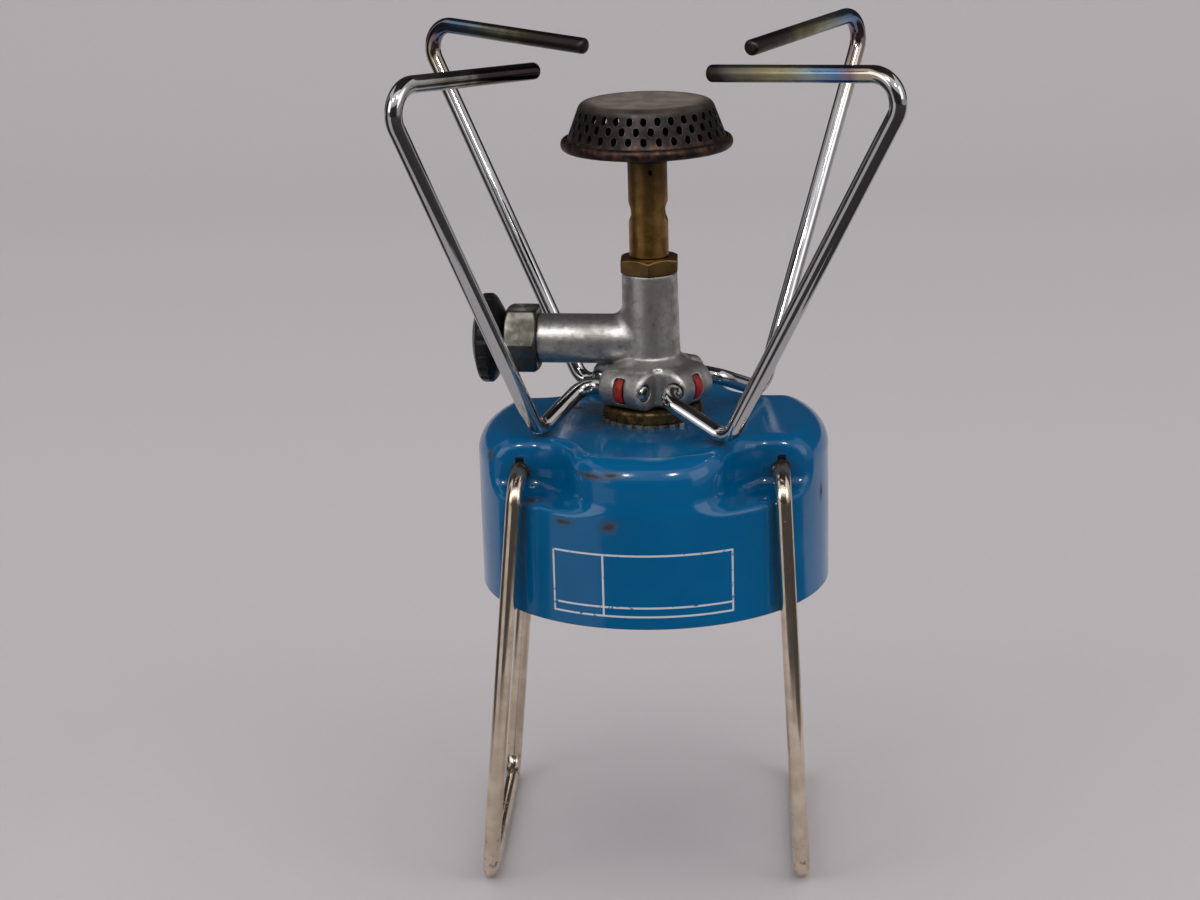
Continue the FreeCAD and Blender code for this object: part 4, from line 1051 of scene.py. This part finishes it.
dish_outline += [(radius, TUBE_TOP) for radius in reversed(DISH_NECK)]
dish = lathe("rolled_dish", dish_outline, DISH_COLUMNS, sharp_angle=45)
stand_in(dish, burnt_steel, "burnt_steel", "head", "burner_dish")

# The pan supports
# Four arms of chromed wire in a ring, each bent from one length: a hinge pin in its barrel, a run over the
# bell, a tall leg and a finger towards the middle. The flame has blued and sooted the fingers.
ARM_WIRE = 4.3
ARM_BENDS = (5.0, 5.0, 6.5)
ARM_OFFSET = -12.65
ARM_CORNERS = [
    (HINGE_REACH, 6.9, HINGE_HEIGHT),
    (HINGE_REACH, ARM_OFFSET, HINGE_HEIGHT),
    (32.655, ARM_OFFSET, 119.477),
    (86.7, ARM_OFFSET, 215.4),
    (28.6, ARM_OFFSET, 211.8),
]
ARM_TIP = 1.0
ARM_STEP = 2.0
ARM_FINGER = 58.0
ARM_WARM_LEG = 40.0
# Each arm: how hot its finger's end and its top bend have been, from 0 to 1, and how far soot reaches.
ARMS = {
    "arm_front_right": (0.95, 0.10, 7.0),
    "arm_back_right": (0.85, 0.34, 34.0),
    "arm_back_left": (0.90, 0.30, 62.0),
    "arm_front_left": (0.38, 0.14, 58.0),
}
SOOT = (0.030, 0.026, 0.026, 1)
CHROME_PIT = (0.10, 0.06, 0.04, 1)
# The colours that chromed steel takes on as it gets hotter.
TEMPER = [
    (0.00, (0.52, 0.52, 0.53, 1)), (0.20, (0.52, 0.51, 0.50, 1)), (0.28, (0.42, 0.35, 0.27, 1)),
    (0.36, (0.25, 0.185, 0.22, 1)), (0.44, (0.14, 0.26, 0.44, 1)), (0.52, (0.33, 0.40, 0.40, 1)),
    (0.64, (0.38, 0.34, 0.19, 1)), (0.80, (0.17, 0.165, 0.13, 1)), (1.00, (0.045, 0.043, 0.040, 1)),
]
arm_chrome, tree, shader = new_material("arm_chrome")
spot = place(tree)
warmth = put(tree, "Attribute", attribute_name="warmth").outputs["Fac"]
uneven = minus(tree, noise(tree, spot, 7.0), 0.5)
warmth = plus(tree, warmth, times(tree, uneven, 0.22))
ramp = put(tree, "ValToRGB", {0: warmth})
for index, (position, colour) in enumerate(TEMPER):
    if index < 2:
        stop = ramp.color_ramp.elements[index]
        stop.position = position
    else:
        stop = ramp.color_ramp.elements.new(position)
    stop.color = colour
pits = mask(tree, specks, Spacing=2.2, Share=0.16, Spread=0.09)
chrome = tint(tree, ramp.outputs[0], pits, 0.8, CHROME_PIT)
sooted = put(tree, "Attribute", attribute_name="sooted").outputs["Fac"]
sooted = fade(tree, plus(tree, sooted, uneven), 0.05, 0.75)
chrome = tint(tree, chrome, sooted, 0.9, SOOT)
hazy = mask(tree, mottle, Size=8.0, Low=0.40, High=0.75)
roughness = lerp(tree, fade(tree, warmth, 0.2, 1.0), lerp(tree, hazy, 0.07, 0.17), 0.42)
set_shader(tree, shader, Base_Color=chrome, Metallic=1.0, Roughness=roughness,
           Normal=bump(tree, plus(tree, noise(tree, spot, 4.0, detail=1.0), pits), 0.012))
for hinge_turn, name in zip(HINGE_TURNS, ARMS):
    tip_heat, bend_heat, soot_reach = ARMS[name]
    line = bent_line([Vector(corner) for corner in ARM_CORNERS], ARM_BENDS, ARM_STEP)
    rings, distances = swept_wire(line, ARM_WIRE, ARM_TIP)
    points, faces = wire_mesh(rings)
    spin = Matrix.Rotation(math.radians(hinge_turn), 3, "Z")
    arm = add_mesh(name + "_wire", [spin @ spot for spot in points], faces, sharp_angle=60)
    from_tip = distances[-1] - np.array(distances)
    stops = (0, ARM_FINGER, ARM_FINGER + ARM_WARM_LEG)
    shares = {
        "warmth": np.interp(from_tip, stops, (tip_heat, bend_heat, 0.0)),
        "sooted": np.interp(from_tip, (0, soot_reach), (1.0, 0.0)),
    }
    for label, values in shares.items():
        attribute = arm.data.attributes.new(label, "FLOAT", "POINT")
        attribute.data.foreach_set("value", np.repeat(values, WIRE_SIDES))
    stand_in(arm, arm_chrome, "arm_chrome", name, name)

# The studio
# A seamless pale sheet under and behind the stove, in a room that gets lighter towards its ceiling. Sizes
# from here on are in metres.
SHEET_FRONT = -1.6
SHEET_BACK = 0.9
SHEET_BEND = 0.7
SHEET_TOP = 2.0
SHEET_HALF = 2.5
SHEET_BEND_POINTS = 24
PAPER = (0.60, 0.575, 0.585, 1)
PAPER_LIGHT = (0.63, 0.605, 0.615, 1)
ROOM_LOW = (0.42, 0.41, 0.415, 1)
ROOM_HIGH = (0.74, 0.72, 0.73, 1)
ROOM_STRENGTH = 0.97
sheet_line = [(SHEET_FRONT, 0.0)]
for turn in np.linspace(0, math.pi / 2, SHEET_BEND_POINTS):
    sheet_line.append((SHEET_BACK + SHEET_BEND * math.sin(turn), SHEET_BEND * (1 - math.cos(turn))))
sheet_line.append((SHEET_BACK + SHEET_BEND, SHEET_TOP))
sheet_points = [(side, depth, height) for depth, height in sheet_line for side in (-SHEET_HALF, SHEET_HALF)]
sheet_faces = [(2 * row, 2 * row + 1, 2 * row + 3, 2 * row + 2) for row in range(len(sheet_line) - 1)]
backdrop_mesh = bpy.data.meshes.new("backdrop")
backdrop_mesh.from_pydata(sheet_points, [], sheet_faces)
backdrop_mesh.shade_smooth()
backdrop = put_in_scene("backdrop", backdrop_mesh)
paper, tree, shader = new_material("backdrop_paper")
fibres = noise(tree, place(tree), 2.0)
set_shader(tree, shader, Base_Color=mixed(tree, fibres, PAPER, PAPER_LIGHT),
           Roughness=0.9, Normal=bump(tree, fibres, 0.02))
backdrop_mesh.materials.append(paper)
world = bpy.data.worlds.new("room")
world.use_nodes = True
tree = world.node_tree
tree.nodes.clear()
upward = put(tree, "SeparateXYZ", {0: put(tree, "TexCoord").outputs["Generated"]}).outputs[2]
room = mixed(tree, fade(tree, upward, 0.0, 0.75), ROOM_LOW, ROOM_HIGH)
glow = put(tree, "Background", {"Color": room, "Strength": ROOM_STRENGTH}).outputs[0]
put(tree, "OutputWorld", {"Surface": glow})
bpy.context.scene.world = world
bpy.context.scene.view_settings.view_transform = "Standard"

# The dark cards
# They stand for the bare table, with a bright gap at its left, and for the dim parts of the room. Only
# mirror-like surfaces see them.
TABLE = 0.001
CARD_DARK = (0.02, 0.018, 0.018, 1)
CARD_LIGHT = (0.05, 0.046, 0.045, 1)
CARDS = {
    "table_left": [(-0.174, -0.077, TABLE), (-0.172, 0.08, TABLE), (-1.4, 0.65, TABLE),
                   (-1.5, -0.668, TABLE)],
    "table_right": [(-0.095, -0.165, TABLE), (0.1, -0.165, TABLE), (0.2, 0.07, TABLE), (1.4, 0.5, TABLE),
                    (1.5, -1.55, TABLE), (-0.9, -1.55, TABLE)],
    "room_front": [(-1.5, -1.55, 0.0), (1.5, -1.55, 0.0), (1.5, -1.55, 0.75), (-1.5, -1.55, 0.75)],
    "room_left": [(-1.0, -0.4, 0.0), (-1.0, 0.25, 0.0), (-1.0, 0.25, 0.9), (-1.0, -0.4, 0.9)],
    "room_back": [(-1.6, 0.75, 0.15), (1.6, 0.75, 0.15), (1.6, 0.75, 1.5), (-1.6, 0.75, 1.5)],
    "room_ceiling": [(-0.8, -0.6, 1.4), (0.8, -0.6, 1.4), (0.8, 0.75, 1.4), (-0.8, 0.75, 1.4)],
}
dark_card, tree, shader = new_material("dark_card")
dim = noise(tree, place(tree), 300.0)
set_shader(tree, shader, Base_Color=mixed(tree, dim, CARD_DARK, CARD_LIGHT), Roughness=1.0)
for name, corners in CARDS.items():
    card_mesh = bpy.data.meshes.new(name)
    card_mesh.from_pydata(corners, [], [tuple(range(len(corners)))])
    card_mesh.materials.append(dark_card)
    card = put_in_scene(name, card_mesh)
    card.visible_camera = False
    card.visible_diffuse = False
    card.visible_shadow = False

# The lights
# A large soft light above, a softer window on each side, and two small lamps in front that only put
# glints on the enamel and the chrome.
MIDDLE = (0.0, 0.0, 0.12)


def soft_light(name, spot, size, power, only_glints=False):
    """A square soft light turned towards the stove; one that is only for glints lights no matt surface."""
    lamp = bpy.data.lights.new(name, "AREA")
    lamp.size = size
    lamp.energy = power
    light = put_in_scene(name, lamp)
    light.location = spot
    light.rotation_euler = (Vector(MIDDLE) - Vector(spot)).to_track_quat("-Z", "Y").to_euler()
    light.visible_diffuse = not only_glints


soft_light("overhead", (0.1, -0.25, 1.9), size=2.0, power=3.2)
soft_light("window_left", (-1.3, -1.0, 0.8), size=0.9, power=4.2)
soft_light("window_right", (1.3, -0.8, 0.8), size=0.9, power=3.6)
soft_light("lamp_left", (-0.42, -1.1, 1.15), size=0.14, power=6.0, only_glints=True)
soft_light("lamp_right", (0.42, -1.1, 1.15), size=0.14, power=6.0, only_glints=True)

# The camera
# It is where the photographer's was, as fitted to points on the stove, and leans a little to one side.
CAMERA_SPOT = (0.0269, -0.6527, 0.3033)
CAMERA_YAW = math.radians(-3.60)
CAMERA_PITCH = math.radians(16.56)
CAMERA_ROLL = math.radians(-1.62)
CAMERA_LENS = 77.37
SENSOR_WIDTH = 36.0
CLIP_START = 0.01
ahead = Vector((
    math.sin(CAMERA_YAW) * math.cos(CAMERA_PITCH),
    math.cos(CAMERA_YAW) * math.cos(CAMERA_PITCH),
    -math.sin(CAMERA_PITCH),
))
level = Vector((math.cos(CAMERA_YAW), -math.sin(CAMERA_YAW), 0))
upward = level.cross(ahead)
right = level * math.cos(CAMERA_ROLL) + upward * math.sin(CAMERA_ROLL)
top = upward * math.cos(CAMERA_ROLL) - level * math.sin(CAMERA_ROLL)
camera_data = bpy.data.cameras.new("camera")
camera_data.sensor_fit = "HORIZONTAL"
camera_data.sensor_width = SENSOR_WIDTH
camera_data.lens = CAMERA_LENS
camera_data.clip_start = CLIP_START
camera = put_in_scene("camera", camera_data)
facing = Matrix((right, top, -ahead)).transposed().to_4x4()
camera.matrix_world = Matrix.Translation(CAMERA_SPOT) @ facing
bpy.context.scene.camera = camera
